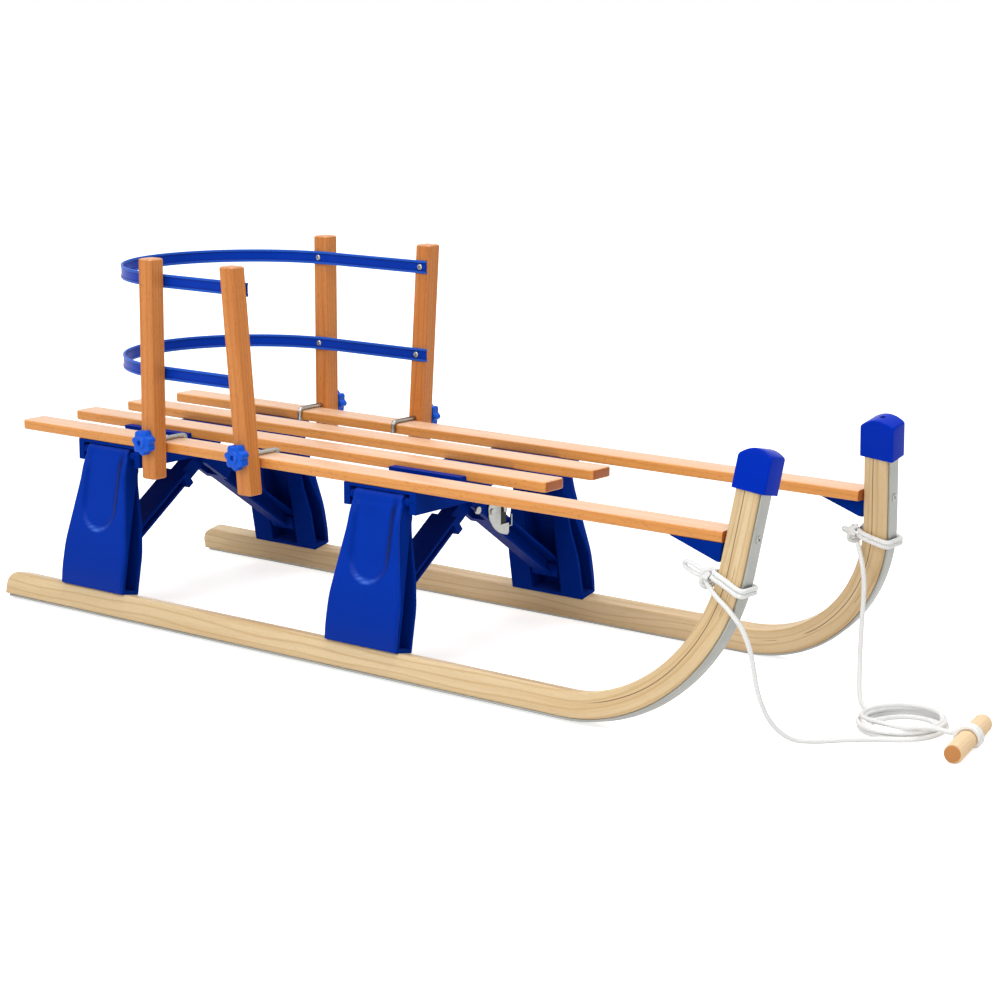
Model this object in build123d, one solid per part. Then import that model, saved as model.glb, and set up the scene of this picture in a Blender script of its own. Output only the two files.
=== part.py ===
# Folding wooden sled with a removable backrest and a tow rope.
# Millimetres. X forward (towards the horns), Y to the left side, Z up, floor at z = 0.
# A side frame is drawn in its own plane: x along the sled, a across the runner (outwards from its
# inner face) and h up the plane. lean() then tilts it in to the left side, flip() makes the right one.
from build123d import *

import os
from math import atan2, cos, degrees, hypot, pi, radians, sin, tan

os.makedirs("parts", exist_ok=True)

# runners, steel strips and caps
TAIL_X = -525.0            # rear end of the runners and of the slats
RUNNER_TILT = 11.0         # each side frame leans in by this angle
RUNNER_Y = 161.5           # inner lower edge of a runner at the floor
RUNNER_W = 22.0
WOOD_H = 28.0
WOOD_EDGE = 2.5            # rounding of the runner's long edges
TAIL_R = 16.0
STRIP_T = 3.0
STRIP_W = 16.5
STRIP_SET = 4.0            # the strip ends this far before the tail
BEND_X = 317.0             # where the straight run ends and the bend starts
BEND_R = 198.0             # radius of the sliding face in the bend
HORN_LEAN = 5.3            # the horns lean forward by this angle
HORN_TOP_H = 288.0         # top of the wood inside the cap
CAP_DEPTH = 32.0           # length of horn inside the cap
CAP_HEAD = 15.0            # cap above the wood
CAP_CROWN = 12.0           # radius of the domed top
CAP_WALL_X = 4.0
CAP_WALL_A = 2.0
CAP_EDGE = 2.0
CAP_HOLE_R = 3.0
CAP_HOLE_DEPTH = 9.0

# seat
SEAT_TOP = 216.6
SLAT_T = 12.0
SLAT_W = 35.0
INNER_Y, OUTER_Y = 43.0, 129.0   # middle of the inner and of the outer slat
INNER_FRONT = 203.6
OUTER_FRONT = 486.0
SLAT_EDGE = 3.0
SLAT_CORNER = 9.0          # rounded corners of the slat ends, seen from above
HORN_GAP = 1.0             # between an outer slat or its wedge and the horn

# cross-frames
FRAMES = (("rear", -375.0), ("front", 45.0))
FOOT_HALF = 51.5
FOOT_STEP = 49.0           # height over the runner where the leg starts to narrow
LEG_MID_HALF, LEG_MID_H = 36.5, 160.0
LEG_TOP_HALF = 34.5
FOOT_IN, FOOT_OUT = -1.0, 25.0   # inner and outer face of a foot, across the runner
PANEL_T = 3.5
RIB_T = 3.5
RECESS_HALF = 21.5         # half-width of the recess that takes the folded strut
POCKET_LOW_H, POCKET_TOP_H = 82.0, 175.0
BASE_T = 4.0
SHIELD_T = 1.2
SHIELD_HALF, SHIELD_LOW_H = 29.0, 101.0
HUB_A, HUB_H = 17.0, 192.8       # leg pivot in the leg's own plane
HUB_R = 8.0
TRUNNION_R = 5.0
PIN_R = 4.0
RUN_GAP = 0.05             # radial play of a pin in its bore
SIDE_GAP = 0.5             # play along a pin

PLATE_T = 3.0
BRACKET_HALF = 51.0
CHEEK_T = 8.5
CHEEK_LOW_Z = 180.0
CHEEK_TAPER_Y = 53.0       # inside of this the cheek rises to the knee
BRACKET_IN = 5.0
LEDGE_W, LEDGE_H = 11.0, 5.5
GUSSETS_Y = (72.0, 100.0)
KNEE_Z = 193.0
KNEE_R = 8.5
LUG_T = 10.0

STRUT_KNEE_Z = 170.0
STRUT_EYE_R = 10.0
STRUT_HALF = 18.0          # half-width of the upper flange
STRUT_LOW_HALF = 10.0      # half-width of the lower flange
STRUT_D = 18.5
FLANGE_T = 3.0
TONGUE_HALF = 9.4
FORK_DEPTH = 38.0          # how far from the knee the struts interleave
FOOT_PIN_A, FOOT_PIN_H = 7.0, 60.0
FOLD_LIMIT = 72.0          # travel of a seat half
STRUT_TRAVEL = 38.0        # travel of a strut over that fold, rounded up

LATCH_T = 1.6
LATCH_Y, LATCH_Z = 24.3, 152.5   # rivet of the latch plate
LATCH_RIVET_R = 3.5
STUD_Z = 158.0
STUD_R = 4.5

# backrest
POST_X, POST_Y = 19.0, 20.0
POST_LOW, POST_TOP = 175.5, 429.5
POST_EDGE = 3.0
POST_GAP = 1.8             # between the outer slat and a post
BOLT_R = 3.0
BOLT_END = 9.0
BAND_T, BAND_W = 2.5, 15.5
BANDS = (("lower", 289.5), ("upper", 395.5))
BAND_BACK_X = -286.0       # centre of the band's half-circle
BAND_ENDS = ((-1, -145.0), (1, -133.0))
KNOB_R, KNOB_T = 15.0, 11.0
KNOB_LOBES = 7
LOBE_R = 4.0
# columns: name, side, x at the bolt, lean of the post forward in degrees
POSTS = (("rear_right", -1, -286.0, 0.5), ("front_right", -1, -139.0, -5.0),
         ("rear_left", 1, -305.0, 0.0), ("front_left", 1, -153.0, 3.5))

# tow rope
ROPE_R = 2.5
KNOT_H = 178.0
HANDLE_R, HANDLE_L = 10.0, 116.0
HANDLE_AT, HANDLE_TURN = (682.5, 0.5), 13.5
COIL_AT, COIL_OUT, COIL_IN = (597.0, 20.0), (50.0, 58.0), (30.0, 38.0)
COIL_H = 17.0

SEAT_LOW = SEAT_TOP - SLAT_T
PLATE_LOW = SEAT_LOW - PLATE_T
RUNNER_H = STRIP_T + WOOD_H
CAP_LOW_H = HORN_TOP_H - CAP_DEPTH
CAP_TOP_H = HORN_TOP_H + CAP_HEAD
CHEEK_X = BRACKET_HALF - CHEEK_T
SLAT_OUT_Y = OUTER_Y + SLAT_W / 2
COS, SIN = cos(radians(RUNNER_TILT)), sin(radians(RUNNER_TILT))


def side_point(a, h):
    """Y and Z of a point of the left side frame."""
    return RUNNER_Y + a * COS - h * SIN, a * SIN + h * COS


HUB_Y, HUB_Z = side_point(HUB_A, HUB_H)
FOOT_Y, FOOT_Z = side_point(FOOT_PIN_A, FOOT_PIN_H)
STRUT_L = hypot(FOOT_Y, STRUT_KNEE_Z - FOOT_Z)
STRUT_RISE = degrees(atan2(STRUT_KNEE_Z - FOOT_Z, FOOT_Y))


def lean(shape):
    """Takes a piece from the side frame's own plane to the left side of the sled."""
    return Pos(0, RUNNER_Y, 0) * Rot(RUNNER_TILT, 0, 0) * shape


def flip(shape):
    return mirror(shape, about=Plane.XZ)


def slab_xz(face, y0, y1):
    """Extrudes a face drawn in x and z between two values of y."""
    return Pos(0, y1, 0) * Rot(90, 0, 0) * extrude(face, amount=y1 - y0, dir=(0, 0, 1))


def slab_yz(face, x0, x1):
    """Extrudes a face drawn in y and z between two values of x."""
    return Pos(x0, 0, 0) * extrude(Plane.YZ * face, amount=x1 - x0, dir=(1, 0, 0))


def polygon(*points):
    return Polygon(*points, align=None)


def box(x0, x1, y0, y1, z0, z1):
    return Pos((x0 + x1) / 2, (y0 + y1) / 2, (z0 + z1) / 2) * Box(x1 - x0, y1 - y0, z1 - z0)


def rod_x(y, z, r, x0, x1):
    return Pos((x0 + x1) / 2, y, z) * Rot(0, 90, 0) * Cylinder(r, x1 - x0)


def rod_y(x, z, r, y0, y1):
    return Pos(x, (y0 + y1) / 2, z) * Rot(90, 0, 0) * Cylinder(r, y1 - y0)


def save(name, shape):
    solids = shape.solids()
    out = solids[0] if len(solids) == 1 else Compound(children=list(solids))
    out.label = name
    export_step(out, "parts/%s.step" % name)
    print(name, len(solids), round(shape.volume, 1))


def pair(name, shape):
    save(name + "_left", shape)
    save(name + "_right", flip(shape))


def each_frame(name, left, right=None):
    """Saves a cross-frame piece at both frames, on both sides; right may be drawn apart."""
    for tag, x in FRAMES:
        save("%s_%s_left" % (name, tag), Pos(x, 0, 0) * left)
        save("%s_%s_right" % (name, tag), flip(Pos(x, 0, 0) * (left if right is None else right)))


# runners, steel strips and caps
def bend_profile(low, high, x0, top_h):
    """Closed outline between two heights over the sliding face, from the tail to the horn's top."""
    a = radians(90 - HORN_LEAN)
    ro, ri = BEND_R - low, BEND_R - high

    def on(r, t):
        return (BEND_X + r * sin(t), BEND_R - r * cos(t))

    def up(p):
        return (p[0] + (top_h - p[1]) * tan(radians(HORN_LEAN)), top_h)
    po, pi_ = on(ro, a), on(ri, a)
    edges = [Line((x0, low), (BEND_X, low)),
             ThreePointArc((BEND_X, low), on(ro, a / 2), po),
             Line(po, up(po)), Line(up(po), up(pi_)), Line(up(pi_), pi_),
             ThreePointArc(pi_, on(ri, a / 2), (BEND_X, high)),
             Line((BEND_X, high), (x0, high)), Line((x0, high), (x0, low))]
    return make_face(edges)


def horn_x(h, depth):
    """X of a surface of the horn at height h, depth behind the sliding face."""
    a = radians(90 - HORN_LEAN)
    x = BEND_X + (BEND_R - depth) * sin(a)
    z = BEND_R - (BEND_R - depth) * cos(a)
    return x + (h - z) * tan(radians(HORN_LEAN))


HORN_PIN_END = horn_x(HUB_H, RUNNER_H) + WOOD_H / 3
runner = slab_xz(bend_profile(STRIP_T, RUNNER_H, TAIL_X, HORN_TOP_H), 0, RUNNER_W)
tail_cut = Rectangle(TAIL_R, TAIL_R, align=(Align.MIN, Align.MIN)) - Pos(TAIL_R, 0) * Circle(TAIL_R)
runner -= Pos(TAIL_X, 0, RUNNER_H - TAIL_R) * slab_xz(tail_cut, -1, RUNNER_W + 1)
sides = runner.faces().sort_by(Axis.Y)
runner = fillet([e for f in (sides[0], sides[-1]) for e in f.edges()], WOOD_EDGE)
strip_a0 = (RUNNER_W - STRIP_W) / 2
strip = slab_xz(bend_profile(0, STRIP_T, TAIL_X + STRIP_SET, HORN_TOP_H), strip_a0, strip_a0 + STRIP_W)

cap_back = [horn_x(h, RUNNER_H) - CAP_WALL_X for h in (CAP_LOW_H, CAP_TOP_H)]
cap_front = [horn_x(h, 0) + CAP_WALL_X for h in (CAP_LOW_H, CAP_TOP_H)]
cap_mid = (cap_back[1] + cap_front[1]) / 2
cap_face = polygon((cap_back[0], CAP_LOW_H), (cap_front[0], CAP_LOW_H),
                   (cap_front[1], CAP_TOP_H), (cap_back[1], CAP_TOP_H))
cap_face = fillet(cap_face.vertices().sort_by(Axis.Y)[-2:], CAP_CROWN)
cap = slab_xz(cap_face, -CAP_WALL_A, RUNNER_W + CAP_WALL_A)
cap_sides = cap.faces().sort_by(Axis.Y)
cap = fillet([e for f in (cap_sides[0], cap_sides[-1]) for e in f.edges()
              if e.center().Z > CAP_LOW_H + 1], CAP_EDGE)
cap -= slab_xz(bend_profile(STRIP_T, RUNNER_H, TAIL_X, HORN_TOP_H), 0, RUNNER_W)
cap -= strip
cap -= Pos(cap_mid, RUNNER_W / 2, CAP_TOP_H - CAP_HOLE_DEPTH / 2) * Cylinder(CAP_HOLE_R, CAP_HOLE_DEPTH + 1)

runner -= rod_x(HUB_A, HUB_H, BOLT_R, horn_x(HUB_H, RUNNER_H) - SLAT_W, HORN_PIN_END)
pair("runner", lean(runner))
pair("runner_strip", lean(strip))
pair("horn_cap", lean(cap))


# legs, in the plane of the side frame
def leg():
    """Leg of a cross-frame: curved outer shell, open side pockets and a recess for the strut."""
    step_h = RUNNER_H + FOOT_STEP
    waist = polygon((-FOOT_HALF, RUNNER_H), (FOOT_HALF, RUNNER_H), (FOOT_HALF - 0.5, step_h),
                    (LEG_MID_HALF, LEG_MID_H), (LEG_TOP_HALF, HUB_H + HUB_R),
                    (-LEG_TOP_HALF, HUB_H + HUB_R), (-LEG_MID_HALF, LEG_MID_H), (0.5 - FOOT_HALF, step_h))
    corners = waist.vertices().sort_by(Axis.Y)
    waist = fillet(corners[2:6], 2 * FOOT_STEP)
    outline = slab_xz(waist, FOOT_IN, FOOT_OUT)
    outline = fillet([e for e in outline.faces().sort_by(Axis.Y)[-1].edges()
                      if RUNNER_H + 1 < e.center().Z < HUB_H + HUB_R - 1], PANEL_T - 1)
    pocket_a = FOOT_OUT - PANEL_T
    hub_in = HUB_A - HUB_R
    shell = slab_yz(polygon((pocket_a, RUNNER_H), (FOOT_OUT, RUNNER_H), (FOOT_OUT, HUB_H), (hub_in, HUB_H),
                            (hub_in - PANEL_T, POCKET_TOP_H), (pocket_a, POCKET_LOW_H)), -FOOT_HALF, FOOT_HALF)
    rib = polygon((FOOT_IN, RUNNER_H), (pocket_a, RUNNER_H), (FOOT_OUT - 1, HUB_H), (hub_in, HUB_H),
                  (FOOT_IN, POCKET_LOW_H + RUNNER_H))
    body = shell + box(-FOOT_HALF, FOOT_HALF, FOOT_IN, FOOT_OUT, RUNNER_H, RUNNER_H + BASE_T)
    for s in (-1, 1):
        x0, x1 = sorted((s * RECESS_HALF, s * (RECESS_HALF + RIB_T)))
        body += slab_yz(rib, x0, x1)
        x0, x1 = sorted((s * RECESS_HALF, s * FOOT_HALF))
        body += slab_yz(rib, x0, x1) & box(x0, x1, FOOT_IN, FOOT_IN + RIB_T, RUNNER_H, HUB_H)
        band = slab_yz(polygon((FOOT_IN, POCKET_LOW_H + RUNNER_H), (FOOT_IN + RIB_T, POCKET_LOW_H + RUNNER_H),
                               (hub_in, POCKET_TOP_H), (hub_in, HUB_H)), x0, x1)
        body += band
    body &= outline
    body -= slab_yz(polygon((FOOT_IN - 1, RUNNER_H + BASE_T), (pocket_a - 2, RUNNER_H + BASE_T),
                            (pocket_a - 3, FOOT_PIN_H + HUB_R), (hub_in - 0.5, HUB_H - HUB_R),
                            (hub_in - 0.5, HUB_H + 2), (FOOT_IN - 1, HUB_H + 2)), -RECESS_HALF, RECESS_HALF)
    shield_top = HUB_H - HUB_R
    shield = make_face([
        Line((-LEG_TOP_HALF + 1, shield_top), (-SHIELD_HALF, SHIELD_LOW_H + 30)),
        ThreePointArc((-SHIELD_HALF, SHIELD_LOW_H + 30), (0, SHIELD_LOW_H), (SHIELD_HALF, SHIELD_LOW_H + 30)),
        Line((SHIELD_HALF, SHIELD_LOW_H + 30), (LEG_TOP_HALF - 1, shield_top)),
        Line((LEG_TOP_HALF - 1, shield_top), (-LEG_TOP_HALF + 1, shield_top))])
    raised = slab_xz(shield, FOOT_OUT - 1, FOOT_OUT + SHIELD_T)
    body += chamfer(raised.faces().sort_by(Axis.Y)[-1].edges(), SHIELD_T - 0.2)
    body += rod_x(HUB_A, HUB_H, HUB_R, -LEG_TOP_HALF, LEG_TOP_HALF)
    reach = BRACKET_HALF - 2 * RIB_T / 2
    body += rod_x(HUB_A, HUB_H, TRUNNION_R, -reach, reach)
    body -= rod_x(FOOT_PIN_A, FOOT_PIN_H, PIN_R + RUN_GAP, -RECESS_HALF - RIB_T - 1, RECESS_HALF + RIB_T + 1)
    return body


each_frame("leg", lean(leg()))


# brackets: each carries one pair of slats, and the two halves hinge at the knee
def bracket(slot):
    """Half-bracket of the left side; slot is 0 or 1 and picks the knee lugs that interleave."""
    taper = tan(radians(90 - FOLD_LIMIT)) * (CHEEK_TAPER_Y - BRACKET_IN)
    body = box(-BRACKET_HALF, BRACKET_HALF, BRACKET_IN, SLAT_OUT_Y, PLATE_LOW, SEAT_LOW)
    cheek = polygon((BRACKET_IN, SEAT_LOW), (SLAT_OUT_Y, SEAT_LOW), (SLAT_OUT_Y, CHEEK_LOW_Z),
                    (CHEEK_TAPER_Y, CHEEK_LOW_Z), (BRACKET_IN, CHEEK_LOW_Z + taper))
    for s in (-1, 1):
        x0, x1 = sorted((s * CHEEK_X, s * BRACKET_HALF))
        body += slab_yz(cheek, x0, x1)
        x0, x1 = sorted((s * (RECESS_HALF + RIB_T), s * (CHEEK_X + 1)))
        for y in GUSSETS_Y:
            body += box(x0, x1, y, y + PLATE_T, KNEE_Z - PLATE_T, SEAT_LOW)
    ledge_y = INNER_Y + SLAT_W / 2
    body += box(-BRACKET_HALF, BRACKET_HALF, ledge_y, ledge_y + LEDGE_W, SEAT_LOW - 1, SEAT_LOW + LEDGE_H)
    lug_in = TONGUE_HALF + LUG_T / 2 - 1 if slot == 0 else TONGUE_HALF + LUG_T * 1.5 - 1 + SIDE_GAP
    lug = polygon((0, KNEE_Z + KNEE_R), (BRACKET_IN + 1, SEAT_LOW), (CHEEK_TAPER_Y, SEAT_LOW),
                  (CHEEK_TAPER_Y, KNEE_Z), (0, KNEE_Z - 2))
    for s in (-1, 1):
        x0, x1 = sorted((s * lug_in, s * (lug_in + LUG_T)))
        body += slab_yz(lug, x0, x1) + rod_x(0, KNEE_Z, KNEE_R, x0, x1)
    reach = BRACKET_HALF - 2 * RIB_T / 2 + SIDE_GAP
    body -= rod_x(HUB_Y, HUB_Z, TRUNNION_R + RUN_GAP, -reach, reach)
    body -= rod_x(0, KNEE_Z, PIN_R + (RUN_GAP if slot else 0), -BRACKET_HALF - 1, BRACKET_HALF + 1)
    return body


each_frame("bracket", bracket(1), bracket(0))
knee_half = TONGUE_HALF + LUG_T * 2.5 + 1
for tag, x in FRAMES:
    save("knee_pin_" + tag, Pos(x, 0, 0) * rod_x(0, KNEE_Z, PIN_R, -knee_half, knee_half))

# slats and wedges
horn_clear = slab_xz(bend_profile(-STRIP_T, RUNNER_H + HORN_GAP, TAIL_X, HORN_TOP_H), -SLAT_W, 2 * SLAT_W)
for tag, y, front in (("inner", INNER_Y, INNER_FRONT), ("outer", OUTER_Y, OUTER_FRONT)):
    slat = box(TAIL_X, front, y - SLAT_W / 2, y + SLAT_W / 2, SEAT_LOW, SEAT_TOP)
    ends = slat.edges().filter_by(Axis.Z).sort_by(Axis.X)
    slat = fillet(ends if tag == "inner" else ends[:2], SLAT_CORNER)
    slat = fillet(slat.faces().sort_by(Axis.Z)[-1].edges() + slat.faces().sort_by(Axis.Z)[0].edges(), SLAT_EDGE)
    if tag == "outer":
        slat -= lean(horn_clear)
    pair("slat_" + tag, slat)

wedge_low = HUB_Z - BOLT_R - 4
wedge = slab_xz(polygon((OUTER_FRONT - 63, SEAT_LOW), (OUTER_FRONT + 7, SEAT_LOW),
                        (OUTER_FRONT + 7, wedge_low), (OUTER_FRONT - 7, wedge_low)), HUB_Y - 15, HUB_Y + 5)
wedge -= lean(horn_clear)
wedge -= rod_x(HUB_Y, HUB_Z, BOLT_R + RUN_GAP, HORN_PIN_END - SLAT_W, HORN_PIN_END)
pair("wedge", wedge)
pair("horn_pin", rod_x(HUB_Y, HUB_Z, BOLT_R, HORN_PIN_END - WOOD_H, HORN_PIN_END))


# struts
def strut(fork):
    """Left strut along its own axis from the foot pin, upper side down; fork or open hook at the knee."""
    half_d = STRUT_D / 2
    fill = STRUT_L - FORK_DEPTH
    bar = box(-STRUT_HALF, STRUT_HALF, 0, fill, -half_d, FLANGE_T - half_d)
    bar += box(-STRUT_LOW_HALF, STRUT_LOW_HALF, 0, fill, half_d - FLANGE_T, half_d)
    bar += box(-RIB_T / 2, RIB_T / 2, 0, fill, -half_d, half_d)
    bar += rod_x(0, 0, half_d, -STRUT_HALF, STRUT_HALF)
    bar += box(-STRUT_HALF, STRUT_HALF, fill - 3 * FLANGE_T, fill, -half_d, half_d)
    spans = ((-STRUT_HALF, -TONGUE_HALF - SIDE_GAP), (TONGUE_HALF + SIDE_GAP, STRUT_HALF))
    for x0, x1 in spans if fork else ((-TONGUE_HALF, TONGUE_HALF),):
        bar += box(x0, x1, fill - 1, STRUT_L, -half_d, half_d)
        bar += rod_x(STRUT_L, 0, STRUT_EYE_R, x0, x1)
    pin_half = RECESS_HALF + RIB_T - SIDE_GAP
    bar += rod_x(0, 0, PIN_R, -pin_half, pin_half)
    bar -= rod_x(STRUT_L, 0, PIN_R + (0 if fork else RUN_GAP), -STRUT_HALF - 1, STRUT_HALF + 1)
    if not fork:
        reach, w = 3 * STRUT_EYE_R, PIN_R + SIDE_GAP
        first, last = radians(STRUT_RISE), radians(STRUT_RISE + STRUT_TRAVEL)
        mouth = polygon((-w * sin(last), w * cos(last)),
                        (w * sin(first), -w * cos(first)),
                        (reach * cos(first) + w * sin(first), reach * sin(first) - w * cos(first)),
                        (reach * cos(last) - w * sin(last), reach * sin(last) + w * cos(last)))
        bar -= Pos(0, STRUT_L, 0) * slab_yz(mouth, -TONGUE_HALF - 1, TONGUE_HALF + 1)
    return Pos(0, FOOT_Y, FOOT_Z) * Rot(180 - STRUT_RISE, 0, 0) * bar


each_frame("strut", strut(True), strut(False))
for tag, x in FRAMES:
    save("strut_pin_" + tag, Pos(x, 0, 0) * rod_x(0, STRUT_KNEE_Z, PIN_R, -STRUT_HALF, STRUT_HALF))

# latch on the front cross-frame: stamped plate on a bossed rivet, with a wire bail and a stud
latch_x0 = FRAMES[1][1] + STRUT_HALF + 2 * SIDE_GAP
latch_x1 = latch_x0 + LATCH_T
hook_y, hook_z = LATCH_Y + 15.2, LATCH_Z - 17.5
plate = make_face([
    ThreePointArc((LATCH_Y - 6, LATCH_Z - 2.5), (LATCH_Y + 7, LATCH_Z - 22), (LATCH_Y + 27.7, LATCH_Z - 31)),
    Line((LATCH_Y + 27.7, LATCH_Z - 31), (LATCH_Y + 30.2, LATCH_Z - 29)),
    Line((LATCH_Y + 30.2, LATCH_Z - 29), (LATCH_Y + 30.2, hook_z)),
    Line((LATCH_Y + 30.2, hook_z), (hook_y, hook_z)),
    Line((hook_y, hook_z), (hook_y, LATCH_Z + 4)),
    Line((hook_y, LATCH_Z + 4), (hook_y + 6, LATCH_Z + 4)),
    Line((hook_y + 6, LATCH_Z + 4), (hook_y + 6, LATCH_Z - 4)),
    Line((hook_y + 6, LATCH_Z - 4), (hook_y + 12, LATCH_Z - 4)),
    Line((hook_y + 12, LATCH_Z - 4), (hook_y + 12, LATCH_Z + 11)),
    Line((hook_y + 12, LATCH_Z + 11), (LATCH_Y, LATCH_Z + 11)),
    ThreePointArc((LATCH_Y, LATCH_Z + 11), (LATCH_Y - 6, LATCH_Z + 7), (LATCH_Y - 7, LATCH_Z + 2)),
    Line((LATCH_Y - 7, LATCH_Z + 2), (LATCH_Y - 6, LATCH_Z - 2.5))])
latch = slab_yz(plate, latch_x0, latch_x1)
latch += rod_x(LATCH_Y, LATCH_Z, LATCH_RIVET_R, FRAMES[1][1] + STRUT_HALF, latch_x1 + LATCH_T)
bail_y, bail_r = LATCH_Y + 36, 0.9
bail = Pos((latch_x0 + latch_x1) / 2, 0, 0) * (
    Pos(0, bail_y, LATCH_Z - 15) * Cylinder(bail_r, 13) + Pos(0, bail_y, LATCH_Z - 21.5) * Sphere(bail_r))
bail += Pos((latch_x0 + latch_x1) / 2, bail_y - 3, LATCH_Z - 21.5) * Rot(90, 0, 0) * Cylinder(bail_r, 6.2)
save("latch_plate", latch + bail)
stud = rod_x(0, STUD_Z, STUD_R, FRAMES[1][1] + STRUT_HALF, latch_x1)
stud = fillet(stud.faces().sort_by(Axis.X)[-1].edges(), LATCH_T / 2)
save("latch_stud", stud)

print("hub", HUB_Y, HUB_Z, "foot", FOOT_Y, FOOT_Z)

# backrest: posts, bands, hook bolts and star knobs
post_in = SLAT_OUT_Y + POST_GAP
bolt_z = SEAT_TOP + BOLT_R
hook_in = OUTER_Y - SLAT_W / 2 - BOLT_R
for name, s, x0, tilt in POSTS:
    post = box(-POST_X / 2, POST_X / 2, post_in, post_in + POST_Y, POST_LOW - bolt_z, POST_TOP - bolt_z)
    post = chamfer(post.edges().filter_by(Axis.Z), POST_EDGE)
    post = chamfer(post.faces().sort_by(Axis.Z)[0].edges() + post.faces().sort_by(Axis.Z)[-1].edges(), POST_EDGE / 2)
    post -= rod_y(0, 0, BOLT_R, post_in - 1, post_in + POST_Y + 1)
    post = Pos(x0, 0, bolt_z) * Rot(0, tilt, 0) * post
    hook = rod_y(x0, bolt_z, BOLT_R, hook_in, post_in + POST_Y + BOLT_END)
    hook += Pos(x0, hook_in, bolt_z) * Sphere(BOLT_R)
    hook += Pos(x0, hook_in, (SEAT_LOW + bolt_z) / 2) * Cylinder(BOLT_R, bolt_z - SEAT_LOW)
    knob = rod_y(0, 0, KNOB_R - LOBE_R + 1, 0, KNOB_T)
    for i in range(KNOB_LOBES):
        a = 2 * pi * i / KNOB_LOBES
        knob += rod_y((KNOB_R - LOBE_R) * sin(a), (KNOB_R - LOBE_R) * cos(a), LOBE_R, 0, KNOB_T)
    knob = chamfer(knob.faces().sort_by(Axis.Y)[-1].edges(), 1)
    knob += rod_y(0, 0, KNOB_R / 2, 0, KNOB_T + LOBE_R)
    knob -= rod_y(0, 0, BOLT_R, -1, BOLT_END)
    knob = Pos(x0, post_in + POST_Y, bolt_z) * knob
    for tag, shape in (("post", post), ("hook_bolt", hook), ("star_knob", knob)):
        save("%s_%s" % (tag, name), shape if s > 0 else flip(shape))

for tag, z in BANDS:
    ring = Cylinder(post_in, BAND_W, align=(Align.CENTER, Align.CENTER, Align.MIN)) - Cylinder(
        post_in - BAND_T, BAND_W, align=(Align.CENTER, Align.CENTER, Align.MIN))
    ring = Pos(BAND_BACK_X, 0, z) * (ring & box(-2 * post_in, 0, -2 * post_in, 2 * post_in, 0, BAND_W))
    for s, x1 in BAND_ENDS:
        y0, y1 = sorted((s * (post_in - BAND_T), s * post_in))
        ring += box(BAND_BACK_X, x1, y0, y1, z, z + BAND_W)
    save("band_" + tag, ring)

# tow rope: routes chosen by hand
ROUTE_RIGHT = ((469, -149, 172), (484, -157, 160), (503, -160.5, 149), (519, -156, 128), (525, -150, 98),
               (526, -142, 60), (531, -125, 26), (542, -104, 6), (556, -84, 2.7), (572, -64, 2.7),
               (588, -48, 2.7), (601, -38, 5))
ROUTE_LEFT = ((478, 126.5, 163), (488, 123, 140), (493, 118, 112), (497, 108, 82), (503, 96, 52), (511, 82, 26),
              (521, 66, 8), (535, 50, 4), (549, 38, 5))
LEAD_START, LEAD_END = (647.4, 9.3, 9), (670.3, -2.4, 10)


def cord(points, r):
    """Tube of straight runs and tangent arcs through a route."""
    edges, radii = [], []
    pts = [Vector(*p) for p in points]
    start = pts[0]
    for a, b, c in zip(pts, pts[1:], pts[2:]):
        u, v = (b - a).normalized(), (c - b).normalized()
        half = radians(u.get_angle(v)) / 2
        t = 0.45 * min((b - a).length, (c - b).length)
        radius = t / tan(half)
        radii.append(radius)
        p0, p1 = b - u * t, b + v * t
        mid = b + (v - u).normalized() * (radius / cos(half) - radius)
        edges += [Line(start, p0), ThreePointArc(p0, mid, p1)]
        start = p1
    edges.append(Line(start, pts[-1]))
    path = Wire(edges)
    print("cord: length %.0f, smallest radius %.1f" % (path.length, min(radii)))
    return sweep(Plane(origin=pts[0], z_dir=(pts[1] - pts[0])) * Circle(r), path=path)


coil = extrude(Ellipse(*COIL_OUT) - Ellipse(*COIL_IN), amount=COIL_H)
coil = fillet(coil.edges(), 2 * ROPE_R)
coil = Pos(COIL_AT[0], COIL_AT[1], 0) * coil
save("rope_strand_right", cord(ROUTE_RIGHT, ROPE_R) - coil)
save("rope_strand_left", cord(ROUTE_LEFT, ROPE_R) - coil)
save("rope_coil", coil)

handle_at = Pos(HANDLE_AT[0], HANDLE_AT[1], HANDLE_R) * Rot(0, 0, HANDLE_TURN) * Rot(90, 0, 0)
handle = fillet(Cylinder(HANDLE_R, HANDLE_L).edges(), 2)
save("tow_handle", handle_at * handle)
loop = handle_at * (Cylinder(HANDLE_R + 2 * ROPE_R, 2 * ROPE_R + 1) - Cylinder(HANDLE_R, 2 * ROPE_R + 1))
loop -= Pos(*HANDLE_AT, ROPE_R / 2 - HANDLE_L / 2) * Box(HANDLE_L, HANDLE_L, HANDLE_L)
to_loop = Vector(*LEAD_END) - Vector(*LEAD_START)
loop += Plane(origin=LEAD_START, z_dir=to_loop) * Cylinder(
    ROPE_R, to_loop.length, align=(Align.CENTER, Align.CENTER, Align.MIN))
save("rope_handle_loop", loop)


def horn_loop(h):
    """Loop of rope round a horn in the side frame's plane."""
    x0, x1 = horn_x(h, RUNNER_H) - ROPE_R, horn_x(h, 0) + ROPE_R
    ring = Rectangle(x1 - x0 + 2 * ROPE_R, RUNNER_W + 4 * ROPE_R)
    loop = extrude(ring, amount=2 * ROPE_R) - extrude(Rectangle(x1 - x0 - 2 * ROPE_R, RUNNER_W), amount=2 * ROPE_R)
    return Pos((x0 + x1) / 2, RUNNER_W / 2, h - ROPE_R) * loop


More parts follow.
